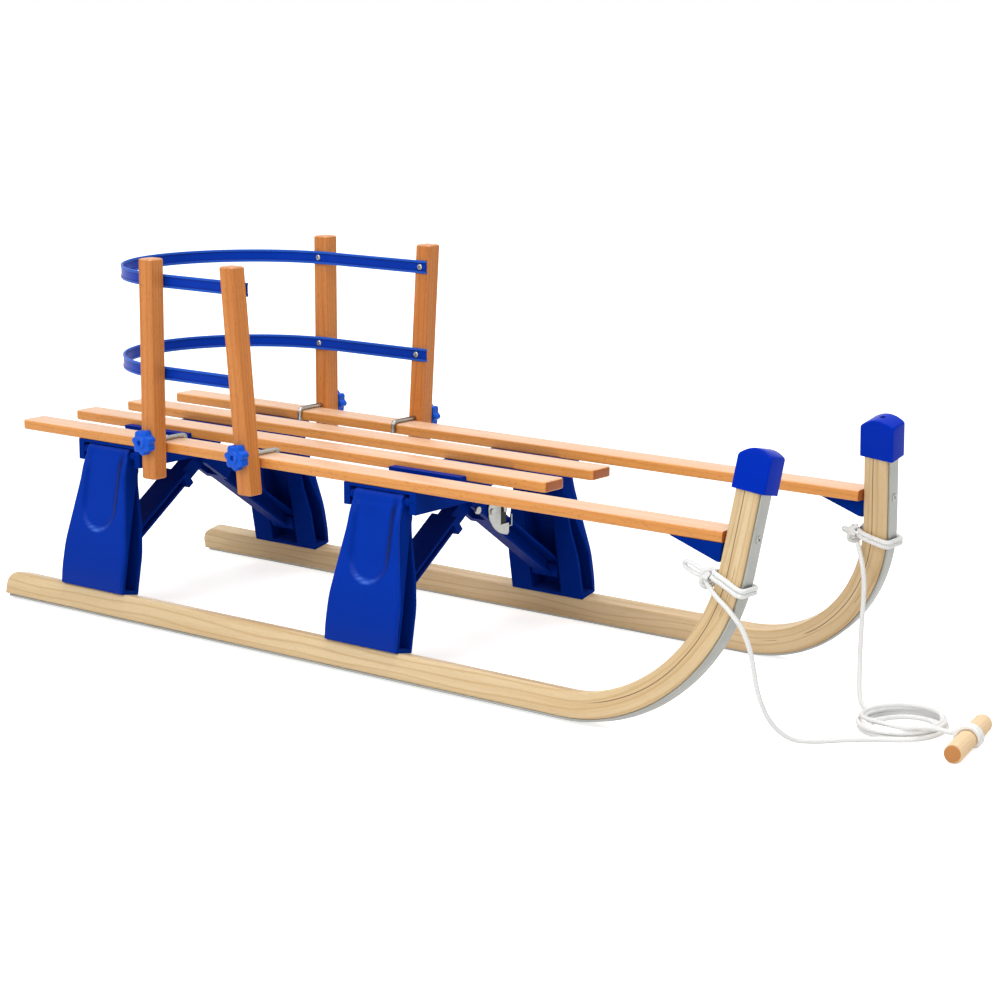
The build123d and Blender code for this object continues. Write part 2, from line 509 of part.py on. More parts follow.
knot = horn_loop(KNOT_H) + Pos(horn_x(KNOT_H, RUNNER_H) - 8, RUNNER_W / 2, KNOT_H - 2) * Sphere(8)
knot -= slab_xz(bend_profile(STRIP_T, RUNNER_H, TAIL_X, HORN_TOP_H), 0, RUNNER_W)
knot -= strip
knot = knot.solids().sort_by(SortBy.VOLUME)[-1]
pair("rope_knot", lean(knot))
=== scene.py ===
"""Looks of a folding wooden sled with a removable backrest and a tow rope.

Sizes are written in millimetres and become metres where a mesh is made. X runs forward to
the horns, Y to the sled's left and Z up from the floor.
"""

import logging
import math
from dataclasses import dataclass
from enum import Enum
from typing import Iterable, Optional, Sequence, Union

import bmesh
import bpy
from mathutils import Matrix, Vector


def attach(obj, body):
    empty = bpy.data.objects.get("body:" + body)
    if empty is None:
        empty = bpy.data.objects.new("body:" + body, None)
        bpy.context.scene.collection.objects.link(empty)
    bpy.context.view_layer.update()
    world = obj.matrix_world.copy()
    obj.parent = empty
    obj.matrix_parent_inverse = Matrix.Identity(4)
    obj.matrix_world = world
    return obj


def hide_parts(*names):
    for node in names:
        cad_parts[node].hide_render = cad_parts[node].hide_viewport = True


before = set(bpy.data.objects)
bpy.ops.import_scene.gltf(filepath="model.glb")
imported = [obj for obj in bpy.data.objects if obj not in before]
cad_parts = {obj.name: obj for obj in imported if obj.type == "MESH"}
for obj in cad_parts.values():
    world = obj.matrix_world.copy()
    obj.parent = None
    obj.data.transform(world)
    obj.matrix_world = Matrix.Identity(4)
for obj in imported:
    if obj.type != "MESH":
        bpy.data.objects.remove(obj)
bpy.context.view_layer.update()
LOG = logging.getLogger("sled")
MM = 0.001
# metres by which the right runner's grain is shifted; the shader takes them off again
RUNNER_SHIFT = 3.0

Point = Sequence[float]
Piece = bpy.types.Object
Paint = bpy.types.Material
Socket = bpy.types.NodeSocket
Value = Union[Socket, float, Sequence[float]]


# ---- shader helpers


def tint(code: str) -> tuple[float, float, float, float]:
    """Turns a screen colour into the linear colour that shaders take.

    Args:
        code: six hexadecimal digits, red first.

    Returns:
        Linear red, green and blue, and 1.
    """
    out = []
    for i in (0, 2, 4):
        c = int(code[i:i + 2], 16) / 255
        out.append(c / 12.92 if c <= 0.04045 else ((c + 0.055) / 1.055) ** 2.4)
    return (*out, 1.0)


class Graph:
    """Short way to write shader nodes into one node tree."""

    def __init__(self, tree: bpy.types.NodeTree) -> None:
        """Keeps the tree that the nodes go into."""
        self.tree = tree

    def feed(self, socket: Socket, value: Value) -> None:
        """Links a socket to another one, or sets its number."""
        if isinstance(value, bpy.types.NodeSocket):
            self.tree.links.new(value, socket)
        else:
            socket.default_value = value

    def fill(self, node: bpy.types.Node, inputs: dict) -> None:
        """Feeds a node's named or numbered inputs."""
        for key, value in inputs.items():
            self.feed(node.inputs[key], value)

    def put(self, kind: str, inputs: Optional[dict] = None, out: Union[int, str] = 0, **settings) -> Socket:
        """Adds a node.

        Args:
            kind: the node's type without its ShaderNode prefix.
            inputs: value or socket for each named or numbered input.
            out: which output is wanted.
            settings: the node's own properties.

        Returns:
            The output socket.
        """
        node = self.tree.nodes.new("ShaderNode" + kind)
        for key, value in settings.items():
            setattr(node, key, value)
        self.fill(node, inputs or {})
        return node.outputs[out]

    def calc(self, operation: str, a: Value, b: Value = 0.0, c: Value = 0.0) -> Socket:
        """Returns the result of one math node."""
        return self.put("Math", {0: a, 1: b, 2: c}, operation=operation)

    def vec(self, operation: str, a: Value, b: Value) -> Socket:
        """Returns the vector result of one vector math node."""
        return self.put("VectorMath", {0: a, 1: b}, operation=operation)

    def span(self, value: Value, low: float, high: float, start: float = 0.0, end: float = 1.0) -> Socket:
        """Maps a value smoothly from low..high to start..end.

        Args:
            value: what is mapped.
            low, high: the range that is read.
            start, end: what it becomes.

        Returns:
            The mapped value, clamped.
        """
        return self.put("MapRange", {0: value, 1: low, 2: high, 3: start, 4: end},
                        interpolation_type="SMOOTHSTEP")

    def mix(self, factor: Value, a: Value, b: Value) -> Socket:
        """Returns colour a turned into colour b by the factor."""
        return self.put("Mix", {0: factor, 6: a, 7: b}, out=2, data_type="RGBA")

    def noise(self, vector: Socket, scale: Value, detail: float = 2.0, distortion: float = 0.0) -> Socket:
        """Returns a noise between 0 and 1 over vector times scale."""
        where = self.vec("MULTIPLY", vector, scale)
        return self.put("TexNoise", {"Vector": where, "Scale": 1.0, "Detail": detail,
                                     "Distortion": distortion})

    def times(self, a: Value, b: Value) -> Socket:
        """Returns a times b."""
        return self.calc("MULTIPLY", a, b)

    def plus(self, a: Value, b: Value) -> Socket:
        """Returns a plus b."""
        return self.calc("ADD", a, b)

    def split(self, vector: Socket) -> list[Socket]:
        """Returns the three parts of a vector."""
        return list(self.put("SeparateXYZ", {0: vector}).node.outputs)

    def cover(self, colour: Value, mask: Value, share: float, top: Value) -> Socket:
        """Returns a colour covered by another one as far as the mask and its share say."""
        return self.mix(self.times(mask, share), colour, top)

    def bump(self, strength: float, distance: float, height: Socket,
             normal: Optional[Socket] = None) -> Socket:
        """Returns the normal that a height gives, on top of another normal if there is one."""
        inputs = {"Strength": strength, "Distance": distance, "Height": height}
        if normal is not None:
            inputs["Normal"] = normal
        return self.put("Bump", inputs)


class Effect:
    """A shader node group that is built once and placed in each material with its own values."""

    name = ""
    takes: tuple = ()
    gives: tuple = ()

    @classmethod
    def place(cls, graph: Graph, **values: Value) -> dict[str, Socket]:
        """Puts the group into a material.

        Args:
            graph: the material's graph.
            values: value or socket for each of the group's inputs.

        Returns:
            The group's outputs by name.
        """
        tree = bpy.data.node_groups.get(cls.name)
        if tree is None:
            tree = bpy.data.node_groups.new(cls.name, "ShaderNodeTree")
            for way, sockets in (("INPUT", cls.takes), ("OUTPUT", cls.gives)):
                for name, kind in sockets:
                    tree.interface.new_socket(name=name, in_out=way, socket_type="NodeSocket" + kind)
            inner = Graph(tree)
            given = tree.nodes.new("NodeGroupInput")
            made = cls().build(inner, {name: given.outputs[name] for name, _ in cls.takes})
            inner.fill(tree.nodes.new("NodeGroupOutput"), made)
        node = graph.tree.nodes.new("ShaderNodeGroup")
        node.node_tree = tree
        graph.fill(node, {name.replace("_", " ").title(): value for name, value in values.items()})
        return {name: node.outputs[name] for name, _ in cls.gives}

    def build(self, g: Graph, given: dict[str, Socket]) -> dict[str, Socket]:
        """Writes the group's nodes and returns its outputs."""
        raise NotImplementedError


class WoodGrain(Effect):
    """Growth rings, pores and flecks of a straight-grained hardwood, with the grain along X."""

    name = "wood grain"
    takes = (("Place", "Vector"), ("Seed", "Float"), ("Ring Width", "Float"))
    gives = (("Tone", "Float"), ("Rings", "Float"), ("Pores", "Float"), ("Flecks", "Float"))

    def build(self, g: Graph, given: dict[str, Socket]) -> dict[str, Socket]:
        """Writes the grain's nodes and returns its masks."""
        seed = given["Seed"]
        shift = g.put("CombineXYZ", {0: seed, 1: g.times(seed, 0.37), 2: g.times(seed, 0.71)})
        place = g.vec("ADD", given["Place"], shift)
        wave = g.noise(place, (5, 30, 30), 1.0)
        tone = g.noise(place, (3, 70, 70), 3.0, 0.4)
        _, side, depth = g.split(place)
        across = g.plus(g.times(side, 0.55), depth)
        rings = g.plus(g.calc("DIVIDE", across, given["Ring Width"]), g.times(wave, 2.2))
        rings = g.span(g.calc("PINGPONG", rings, 0.5), 0.30, 0.5)
        pores = g.span(g.noise(place, (70, 2300, 2300), 1.0), 0.60, 0.72)
        flecks = g.span(g.noise(place, (190, 850, 850), 1.0), 0.62, 0.72)
        return {"Tone": tone, "Rings": rings, "Pores": pores, "Flecks": flecks}


class SoftEdge(Effect):
    """Rounded look of a sharp moulded or sawn edge, and a mask where hands and snow rub it."""

    name = "soft edge"
    takes = (("Radius", "Float"), ("Place", "Vector"))
    gives = (("Normal", "Vector"), ("Wear", "Float"))

    def build(self, g: Graph, given: dict[str, Socket]) -> dict[str, Socket]:
        """Writes the edge's nodes and returns its normal and wear mask."""
        soft = g.put("Bevel", {"Radius": given["Radius"]}, samples=6)
        flat = g.put("NewGeometry", out="Normal")
        turn = g.put("VectorMath", {0: soft, 1: flat}, out="Value", operation="DOT_PRODUCT")
        edge = g.span(turn, 0.995, 0.90)
        rub = g.span(g.noise(given["Place"], (160, 160, 160), 3.0), 0.45, 0.65)
        return {"Normal": soft, "Wear": g.times(edge, rub)}


class Scuffs(Effect):
    """Fine scratches along X and small specks."""

    name = "scuffs"
    takes = (("Place", "Vector"), ("Speck Size", "Float"))
    gives = (("Scratches", "Float"), ("Specks", "Float"), ("Cloud", "Float"))

    def build(self, g: Graph, given: dict[str, Socket]) -> dict[str, Socket]:
        """Writes the scuffs' nodes and returns their masks."""
        place = given["Place"]
        lines = g.span(g.noise(place, (12, 1500, 1500), 2.0), 0.52, 0.72)
        size = g.calc("DIVIDE", 1.0, given["Speck Size"])
        sized = g.put("VectorMath", {0: place, "Scale": size}, operation="SCALE")
        specks = g.span(g.noise(sized, (1, 1, 1), 2.0), 0.60, 0.70)
        return {"Scratches": lines, "Specks": specks, "Cloud": g.noise(place, (25, 25, 25), 3.0)}


class DustAndSheen(Effect):
    """Pale dust that settles on faces that look up, and where it is large a painted sheen as well."""

    name = "settled dust and painted sheen"
    takes = (("Amount", "Float"), ("Place", "Vector"))
    gives = (("Mask", "Float"),)

    def build(self, g: Graph, given: dict[str, Socket]) -> dict[str, Socket]:
        """Writes the dust's nodes and returns its mask."""
        up = g.split(g.put("NewGeometry", out="Normal"))[2]
        cloud = g.span(g.noise(given["Place"], (8, 160, 160), 3.0), 0.3, 0.7, 0.7, 1.0)
        return {"Mask": g.times(g.times(g.span(up, 0.3, 0.95), cloud), given["Amount"])}


class Braid(Effect):
    """Diagonal strands of a braided cord, from its distance along and its angle around."""

    name = "braid"
    takes = (("Along", "Float"), ("Around", "Float"))
    gives = (("Height", "Float"), ("Gap", "Float"))

    def build(self, g: Graph, given: dict[str, Socket]) -> dict[str, Socket]:
        """Writes the braid's nodes and returns its height and the gaps between strands."""
        turn = g.times(given["Around"], 2 * math.pi * 4)
        run = g.times(given["Along"], 2 * math.pi)
        left = g.calc("SINE", g.plus(run, turn))
        right = g.calc("SINE", g.calc("SUBTRACT", run, turn))
        height = g.calc("MAXIMUM", g.calc("ABSOLUTE", left), g.calc("ABSOLUTE", right))
        return {"Height": height, "Gap": g.span(height, 0.75, 0.35)}


# ---- finishes


class GrainRun(Enum):
    """Which way the grain of a wooden piece runs."""

    ALONG_X = "object X"
    CARRIED = "grain"


def new_material(name: str) -> tuple[Paint, Graph, bpy.types.Node]:
    """Starts a material.

    Args:
        name: the material's name.

    Returns:
        The material, its graph and its Principled BSDF.
    """
    material = bpy.data.materials.new(name)
    material.use_nodes = True
    return material, Graph(material.node_tree), material.node_tree.nodes["Principled BSDF"]


def shaded(colour: Point, share: float) -> list[float]:
    """Returns a colour with only a share of its light."""
    return [c * share for c in colour[:3]] + [1.0]


def place_of(g: Graph, run: GrainRun) -> Socket:
    """Returns the coordinates of a surface point, in metres, with the grain along X."""
    if run is GrainRun.CARRIED:
        return g.put("Attribute", out="Vector", attribute_name="grain")
    return g.put("TexCoord", out="Object")


@dataclass(frozen=True)
class Wood:
    """Lacquered, oiled or bare hardwood."""

    name: str
    light: str
    dark: str
    fleck: str
    run: GrainRun = GrainRun.CARRIED
    ring_width: float = 0.0042
    ring_depth: float = 0.35
    fleck_depth: float = 0.35
    seed: float = 0.0
    gloss: float = 0.42
    lacquer: float = 0.25
    edge: float = 0.0006
    laminated: bool = False
    ends: int = -1
    end: str = "a05a24"
    dust_and_sheen: float = 0.08

    # each glue line: depth of its middle, half width, where it starts, share of gaps, strength
    GLUE = ((0.0195, 0.00065, 0.86, 0.38, 0.95), (0.0125, 0.0004, 0.98, 0.55, 0.8),
            (0.0240, 0.0003, 0.05, 0.60, 0.5))

    def material(self) -> Paint:
        """Builds the wood's material."""
        made, g, shader = new_material(self.name)
        place = place_of(g, self.run)
        grain = WoodGrain.place(g, place=place, seed=self.seed, ring_width=self.ring_width)
        edge = SoftEdge.place(g, radius=self.edge, place=place)
        dust_and_sheen = DustAndSheen.place(g, amount=self.dust_and_sheen, place=place)
        light, dark = tint(self.light), tint(self.dark)
        middle = [a * 0.6 + b * 0.4 for a, b in zip(light, dark)]
        colour = g.mix(g.span(grain["Tone"], 0.25, 0.75), light, middle)
        colour = g.cover(colour, grain["Rings"], self.ring_depth, dark)
        colour = g.cover(colour, grain["Flecks"], self.fleck_depth, tint(self.fleck))
        colour = g.cover(colour, grain["Pores"], 0.30, dark)
        if self.laminated:
            colour = g.mix(self.glue_lines(g, place), colour, tint("5d3f22"))
        colour = g.cover(colour, edge["Wear"], 0.35, light)
        if self.ends >= 0:
            colour = g.mix(self.end_grain(g, place), colour, tint(self.end))
        # pale cover on faces that look up: dust, and on the slats also a painted sheen of their lacquer
        colour = g.mix(dust_and_sheen["Mask"], colour, tint("fbeee0"))
        rough = g.plus(g.times(grain["Pores"], 0.18), self.gloss)
        height = g.calc("SUBTRACT", g.times(grain["Rings"], 0.25), grain["Pores"])
        g.fill(shader, {"Base Color": colour, "Roughness": g.plus(rough, g.times(grain["Tone"], 0.08)),
                        "Specular IOR Level": 0.22, "Coat Weight": self.lacquer, "Coat Roughness": 0.22,
                        "Normal": g.bump(0.35, 0.00012, height, edge["Normal"])})
        return made

    def end_grain(self, g: Graph, place: Socket) -> Socket:
        """Mask of the darker sawn ends, which face along the axis that ends names."""
        facing = g.split(g.put("NewGeometry", out="True Normal"))[self.ends]
        mask = g.times(g.span(g.calc("ABSOLUTE", facing), 0.80, 0.95), 0.9)
        if self.laminated:
            along = g.calc("MODULO", g.split(place)[0], RUNNER_SHIFT)
            mask = g.times(mask, g.span(along, 0.03, 0.02))
        return mask

    def glue_lines(self, g: Graph, place: Socket) -> Socket:
        """Mask of the dark glue lines and the short cracks between the veneers of a bent runner."""
        along, _, depth = g.split(place)
        along = g.calc("MODULO", along, RUNNER_SHIFT)
        sway = g.times(g.calc("SUBTRACT", g.noise(place, (9, 0, 0), 2.0), 0.5), 0.0022)
        level = g.plus(depth, sway)
        mask: Value = 0.0
        for middle, half, start, piece, share in self.GLUE:
            off = g.calc("ABSOLUTE", g.calc("SUBTRACT", level, middle))
            line = g.span(off, half, half * 0.3)
            moved = g.vec("ADD", place, (middle * 90, 0, 0))
            broken = g.span(g.noise(moved, (11, 0, 0), 2.0), piece, piece + 0.05)
            here = g.times(g.span(along, start, start + 0.05), share)
            mask = g.calc("MAXIMUM", mask, g.times(g.times(line, broken), here))
        return mask


@dataclass(frozen=True)
class Plastic:
    """Glossy moulded plastic with softened edges and faint scuffs."""

    name: str
    colour: str
    wear_and_highlight: str
    gloss: float = 0.24
    shine: float = 0.35
    edge: float = 0.0009
    rim: float = 0.0
    # paints shade and a highlight round a leg shell's sunk shield
    painted_relief_shading: bool = False
    ior: float = 1.45

    def material(self) -> Paint:
        """Builds the plastic's material."""
        made, g, shader = new_material(self.name)
        place = place_of(g, GrainRun.ALONG_X)
        edge = SoftEdge.place(g, radius=self.edge, place=place)
        scuffs = Scuffs.place(g, place=place, speck_size=0.0011)
        dust_and_sheen = DustAndSheen.place(g, amount=0.012, place=place)
        base, wear_and_highlight = tint(self.colour), tint(self.wear_and_highlight)
        colour = g.mix(g.span(scuffs["Cloud"], 0.3, 0.75, 0.0, 0.35), base, shaded(base, 0.75))
        colour = g.cover(colour, edge["Wear"], 0.30, wear_and_highlight)
        colour = g.cover(colour, scuffs["Specks"], 0.02, wear_and_highlight)
        if self.rim:
            colour = self.rims(g, colour, wear_and_highlight)
        if self.painted_relief_shading:
            groove_shade, lip_highlight, foot_darkening = g.split(place_of(g, GrainRun.CARRIED))
            # the shell's colour grows darker towards the foot
            colour = g.mix(foot_darkening, colour, shaded(base, 0.8))
            # painted shade in the shield's groove, then a painted highlight on its lip
            colour = g.cover(colour, groove_shade, 0.9, shaded(base, 0.06))
            colour = g.cover(colour, lip_highlight, 0.8, tint("5a8aee"))
        rough = g.plus(self.gloss, g.times(scuffs["Cloud"], 0.10))
        height = g.plus(scuffs["Cloud"], g.times(scuffs["Specks"], 0.05))
        g.fill(shader, {"Base Color": g.mix(dust_and_sheen["Mask"], colour, tint("dfe4ec")),
                        "Roughness": g.plus(rough, g.times(edge["Wear"], 0.15)),
                        "Specular IOR Level": self.shine, "IOR": self.ior,
                        "Normal": g.bump(0.2, 0.0004, height, edge["Normal"])})
        return made

    def rims(self, g: Graph, colour: Socket, wear_and_highlight: Value) -> Socket:
        """Draws a painted highlight along a strap's rims and painted shade in the grooves inside them, rim
        being half its width.
        """
        off = g.calc("ABSOLUTE", g.split(place_of(g, GrainRun.CARRIED))[1])
        groove_shade = g.times(g.span(off, self.rim - 0.0046, self.rim - 0.0034), 0.6)
        # painted shade in the grooves, then a painted highlight along the rims
        colour = g.mix(groove_shade, colour, tint("001c78"))
        line = g.times(g.span(off, self.rim - 0.0030, self.rim - 0.0022), 0.75)
        return g.mix(line, colour, wear_and_highlight)


@dataclass(frozen=True)
class Steel:
    """Rolled, zinc-plated or blackened steel."""

    name: str
    colour: str
    stain: str
    gloss: float = 0.30
    speckle: float = 0.25
    edge: float = 0.0003
    run: GrainRun = GrainRun.ALONG_X

    def material(self) -> Paint:
        """Builds the steel's material."""
        made, g, shader = new_material(self.name)
        place = place_of(g, self.run)
        edge = SoftEdge.place(g, radius=self.edge, place=place)
        scuffs = Scuffs.place(g, place=place, speck_size=0.0007)
        stain = tint(self.stain)
        colour = g.mix(g.span(scuffs["Cloud"], 0.35, 0.7, 0.0, 0.5), tint(self.colour), stain)
        colour = g.cover(colour, scuffs["Specks"], self.speckle, stain)
        colour = g.cover(colour, edge["Wear"], 0.6, tint("f2f2ee"))
        rough = g.plus(self.gloss, g.times(scuffs["Scratches"], 0.20))
        height = g.plus(scuffs["Scratches"], scuffs["Specks"])
        g.fill(shader, {"Base Color": colour, "Metallic": 1.0,
                        "Roughness": g.plus(rough, g.times(scuffs["Specks"], 0.15)),
                        "Normal": g.bump(0.2, 0.00008, height, edge["Normal"])})
        return made


@dataclass(frozen=True)
class BraidedCord:
    """White braided cord of a given length."""

    name: str
    length: float
    colour: str = "f9f9f7"
    gap_shade: str = "ccd0d6"
    pitch: float = 0.0085

    def material(self) -> Paint:
        """Builds the cord's material."""
        made, g, shader = new_material(self.name)
        along, around, _ = g.split(g.put("TexCoord", out="UV"))
        braid = Braid.place(g, along=g.times(along, self.length / self.pitch), around=around)
        place = g.put("TexCoord", out="Object")
        fuzz = g.noise(place, (2500, 2500, 2500), 2.0)
        cloud = g.span(g.noise(place, (60, 60, 60), 3.0), 0.4, 0.75, 0.0, 0.18)
        # painted shade in the gaps between the strands
        colour = g.cover(tint(self.colour), braid["Gap"], 0.55, tint(self.gap_shade))
        height = g.plus(braid["Height"], g.times(fuzz, 0.35))
        g.fill(shader, {"Base Color": g.mix(cloud, colour, tint("e2e0da")),
                        "Roughness": g.plus(0.62, g.times(fuzz, 0.2)), "Sheen Weight": 0.3,
                        "Normal": g.bump(0.8, 0.0006, height)})
        return made


ASH = Wood("bent ash", "e4cba1", "ba9258", "b88f5a", ring_width=0.0095, ring_depth=0.42, fleck_depth=0.15,
           gloss=0.40, lacquer=0.2, laminated=True, ends=0, end="8a6234")
# the slats' large share pales their tops with a painted sheen of the lacquer as well as dust
BEECH = Wood("beech slat", "e8a055", "c67a32", "a8673c", ring_width=0.0070, ring_depth=0.34, fleck_depth=0.45,
             gloss=0.36, lacquer=0.2, ends=0, end="9c4c16", dust_and_sheen=0.40)
OILED = Wood("oiled beech", "d98c46", "ae5c20", "985423", ring_width=0.0048, ring_depth=0.42,
             fleck_depth=0.40, gloss=0.45, lacquer=0.15, seed=3.0, dust_and_sheen=0.2)
BARE = Wood("bare beech", "f5dab2", "deb480", "cb9d6c", ring_width=0.0036, ring_depth=0.30, fleck_depth=0.30,
            gloss=0.6, lacquer=0.0, seed=7.0, ends=1, end="c07c3c")
LEG_BLUE = Plastic("deep blue frame", "002b8e", "0c3cb0", gloss=0.26, shine=0.05, ior=1.2)
SHELL_BLUE = Plastic("deep blue shell", "0034a8", "1044bc", gloss=0.20, shine=0.06, painted_relief_shading=True)
CAP_BLUE = Plastic("blue cap", "002eb6", "1c58d8", gloss=0.18, shine=0.04, edge=0.0012)
BAND_BLUE = Plastic("blue strap", "0038b2", "2c68d8", gloss=0.30, shine=0.08, edge=0.0005, rim=0.00775)
KNOB_BLUE = Plastic("light blue knob", "0a5ad8", "5f94f0", gloss=0.24, shine=0.16, edge=0.0006)
BLACK = Plastic("black latch block", "0b0c10", "2a2c34", gloss=0.35, shine=0.25, edge=0.0004)
STRIP_STEEL = Steel("runner steel", "9b9c98", "8b8c87", gloss=0.45, speckle=0.2, run=GrainRun.CARRIED)
ZINC = Steel("zinc plate", "acada8", "444648", gloss=0.32, speckle=0.85)
BOLT_STEEL = Steel("bolt steel", "b6b6b2", "74726c", gloss=0.24, speckle=0.2)


# ---- mesh helpers


def metres(x: float, y: float, z: float) -> Vector:
    """Returns a point given in millimetres, in metres."""
    return Vector((x, y, z)) * MM


def cos_sin(degrees: float) -> tuple[float, float]:
    """Returns the cosine and the sine of an angle in degrees."""
    return math.cos(math.radians(degrees)), math.sin(math.radians(degrees))


def circle(count: int) -> list[tuple[float, float]]:
    """Returns points round a circle of radius 1."""
    return [(math.cos(2 * math.pi * i / count), math.sin(2 * math.pi * i / count)) for i in range(count)]


def clamp(value: float) -> float:
    """Returns a value held between 0 and 1."""
    return min(max(value, 0.0), 1.0)


def ease(value: float) -> float:
    """Returns a smooth step from 0 to 1."""
    t = clamp(value)
    return t * t * (3 - 2 * t)


def shrink(d: float, r: float) -> float:
    """Returns how far an outline draws in at a distance d from an end rounded by r."""
    return r - math.sqrt(max(r * r - (r - d) ** 2, 0.0)) if d < r else 0.0


def axes(axis: Vector) -> tuple[Vector, Vector, Vector]:
    """Returns an axis at length 1 and two directions across it."""
    axis = axis.normalized()
    side = axis.orthogonal().normalized()
    return axis, side, axis.cross(side)


def show(name: str, data: bpy.types.ID) -> Piece:
    """Puts data into the scene as a new object."""
    made = bpy.data.objects.new(name, data)
    bpy.context.scene.collection.objects.link(made)
    return made


def finish_mesh(name: str, bm: bmesh.types.BMesh, finish: Paint, sharp: float = 32.0) -> Piece:
    """Turns a bmesh into a smooth-shaded object.

    Args:
        name: the piece's name.
        bm: the mesh, in metres.
        finish: its material.
        sharp: edges that turn by more degrees than this stay sharp.

    Returns:
        The new object.
    """
    bmesh.ops.recalc_face_normals(bm, faces=bm.faces)
    mesh = bpy.data.meshes.new(name)
    bm.to_mesh(mesh)
    bm.free()
    mesh.shade_smooth()
    mesh.set_sharp_from_angle(angle=math.radians(sharp))
    mesh.materials.append(finish)
    return show(name, mesh)


def loft(name: str, rings: Sequence[Sequence[Vector]], finish: Paint,
         grain: Optional[Sequence[Sequence[Vector]]] = None, sharp: float = 32.0) -> Piece:
    """Joins rings of points into a closed skin.

    Args:
        name: the piece's name.
        rings: loops of points in metres, all of one count, from one end to the other.
        finish: the piece's material.
        grain: for wood, the grain coordinates of each point.
        sharp: the angle in degrees above which an edge stays sharp.

    Returns:
        The new object.
    """
    bm = bmesh.new()
    layer = bm.verts.layers.float_vector.new("grain")
    loops = []
    for i, ring in enumerate(rings):
        loop = [bm.verts.new(p) for p in ring]
        for j, v in enumerate(loop):
            v[layer] = grain[i][j] if grain else ring[j]
        loops.append(loop)
    count = len(loops[0])
    for low, high in zip(loops, loops[1:]):
        for j in range(count):
            k = (j + 1) % count
            bm.faces.new((low[j], low[k], high[k], high[j]))
    bm.faces.new(loops[0])
    bm.faces.new(loops[-1])
    return finish_mesh(name, bm, finish, sharp)


def rounded(u0: float, u1: float, v0: float, v1: float, r: float,
            steps: int = 4) -> list[tuple[float, float]]:
    """Outline of a rectangle with rounded corners.

    Args:
        u0, u1, v0, v1: its sides.
        r: radius of the corners.
        steps: pieces in each corner.

    Returns:
        The outline's points.
    """
    out = []
    corners = ((u1 - r, v1 - r, 0), (u0 + r, v1 - r, 90), (u0 + r, v0 + r, 180), (u1 - r, v0 + r, 270))
    for cu, cv, start in corners:
        for i in range(steps + 1):
            a = math.radians(start + 90 * i / steps)
            out.append((cu + r * math.cos(a), cv + r * math.sin(a)))
    return out


def turned(name: str, profile: Sequence[tuple[float, float]], at: Vector, axis: Vector,
           finish: Paint, lobes: int = 0, lobe: float = 0.0) -> Piece:
    """Turned piece, plain or with lobes.

    Args:
        name: the piece's name.
        profile: radius and distance along the axis of each ring, in millimetres; a third value of a
            ring is its share of the lobes.
        at: where the axis starts, in metres.
        axis: its direction.
        finish: the piece's material.
        lobes: how many lobes the outline has.
        lobe: their height in millimetres.

    Returns:
        The new object.
    """
    axis, side, other = axes(axis)
    count = max(32, lobes * 12)
    rings = []
    for r, t, *share in profile:
        ring = []
        for i in range(count):
            a = 2 * math.pi * i / count
            grow = lobe * (share[0] if share else 0.0) * (0.5 + 0.5 * math.cos(lobes * a)) ** 0.8
            ring.append(at + (axis * t + (side * math.cos(a) + other * math.sin(a)) * (r + grow)) * MM)
        rings.append(ring)
    return loft(name, rings, finish, sharp=40.0)


def bent_rod(name: str, runs: Iterable[Sequence[Point]], radius: float, finish: Paint) -> Piece:
    """Round rod or cord along smooth lines.

    Args:
        name: the piece's name.
        runs: the control points of each line, in millimetres.
        radius: the rod's radius in millimetres.
        finish: its material.

    Returns:
        A curve object with one spline for each line.
    """
    curve = bpy.data.curves.new(name, "CURVE")
    curve.dimensions = "3D"
    curve.bevel_depth = radius * MM
    curve.bevel_resolution = 4
    curve.resolution_u = 8
    curve.use_fill_caps = True
    for points in runs:
        line = curve.splines.new("NURBS")
        line.points.add(len(points) - 1)
        for slot, p in zip(line.points, points):
            slot.co = (*metres(*p), 1.0)
        line.order_u = 3
        line.use_endpoint_u = True
    curve.materials.append(finish)
    return show(name, curve)


def settle(piece: Piece, body: str, slot: str, *nodes: str) -> Piece:
    """Lets a piece ride a body in the place of CAD nodes.

    Args:
        piece: the new piece.
        body: the body that it moves with.
        slot: not used.
        nodes: the CAD nodes that it stands for.

    Returns:
        The piece.
    """
    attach(piece, body)
    if nodes:
        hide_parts(*nodes)
    LOG.info("%s rides %s", piece.name, body)
    return piece


SIDES = (("left", 1), ("right", -1))


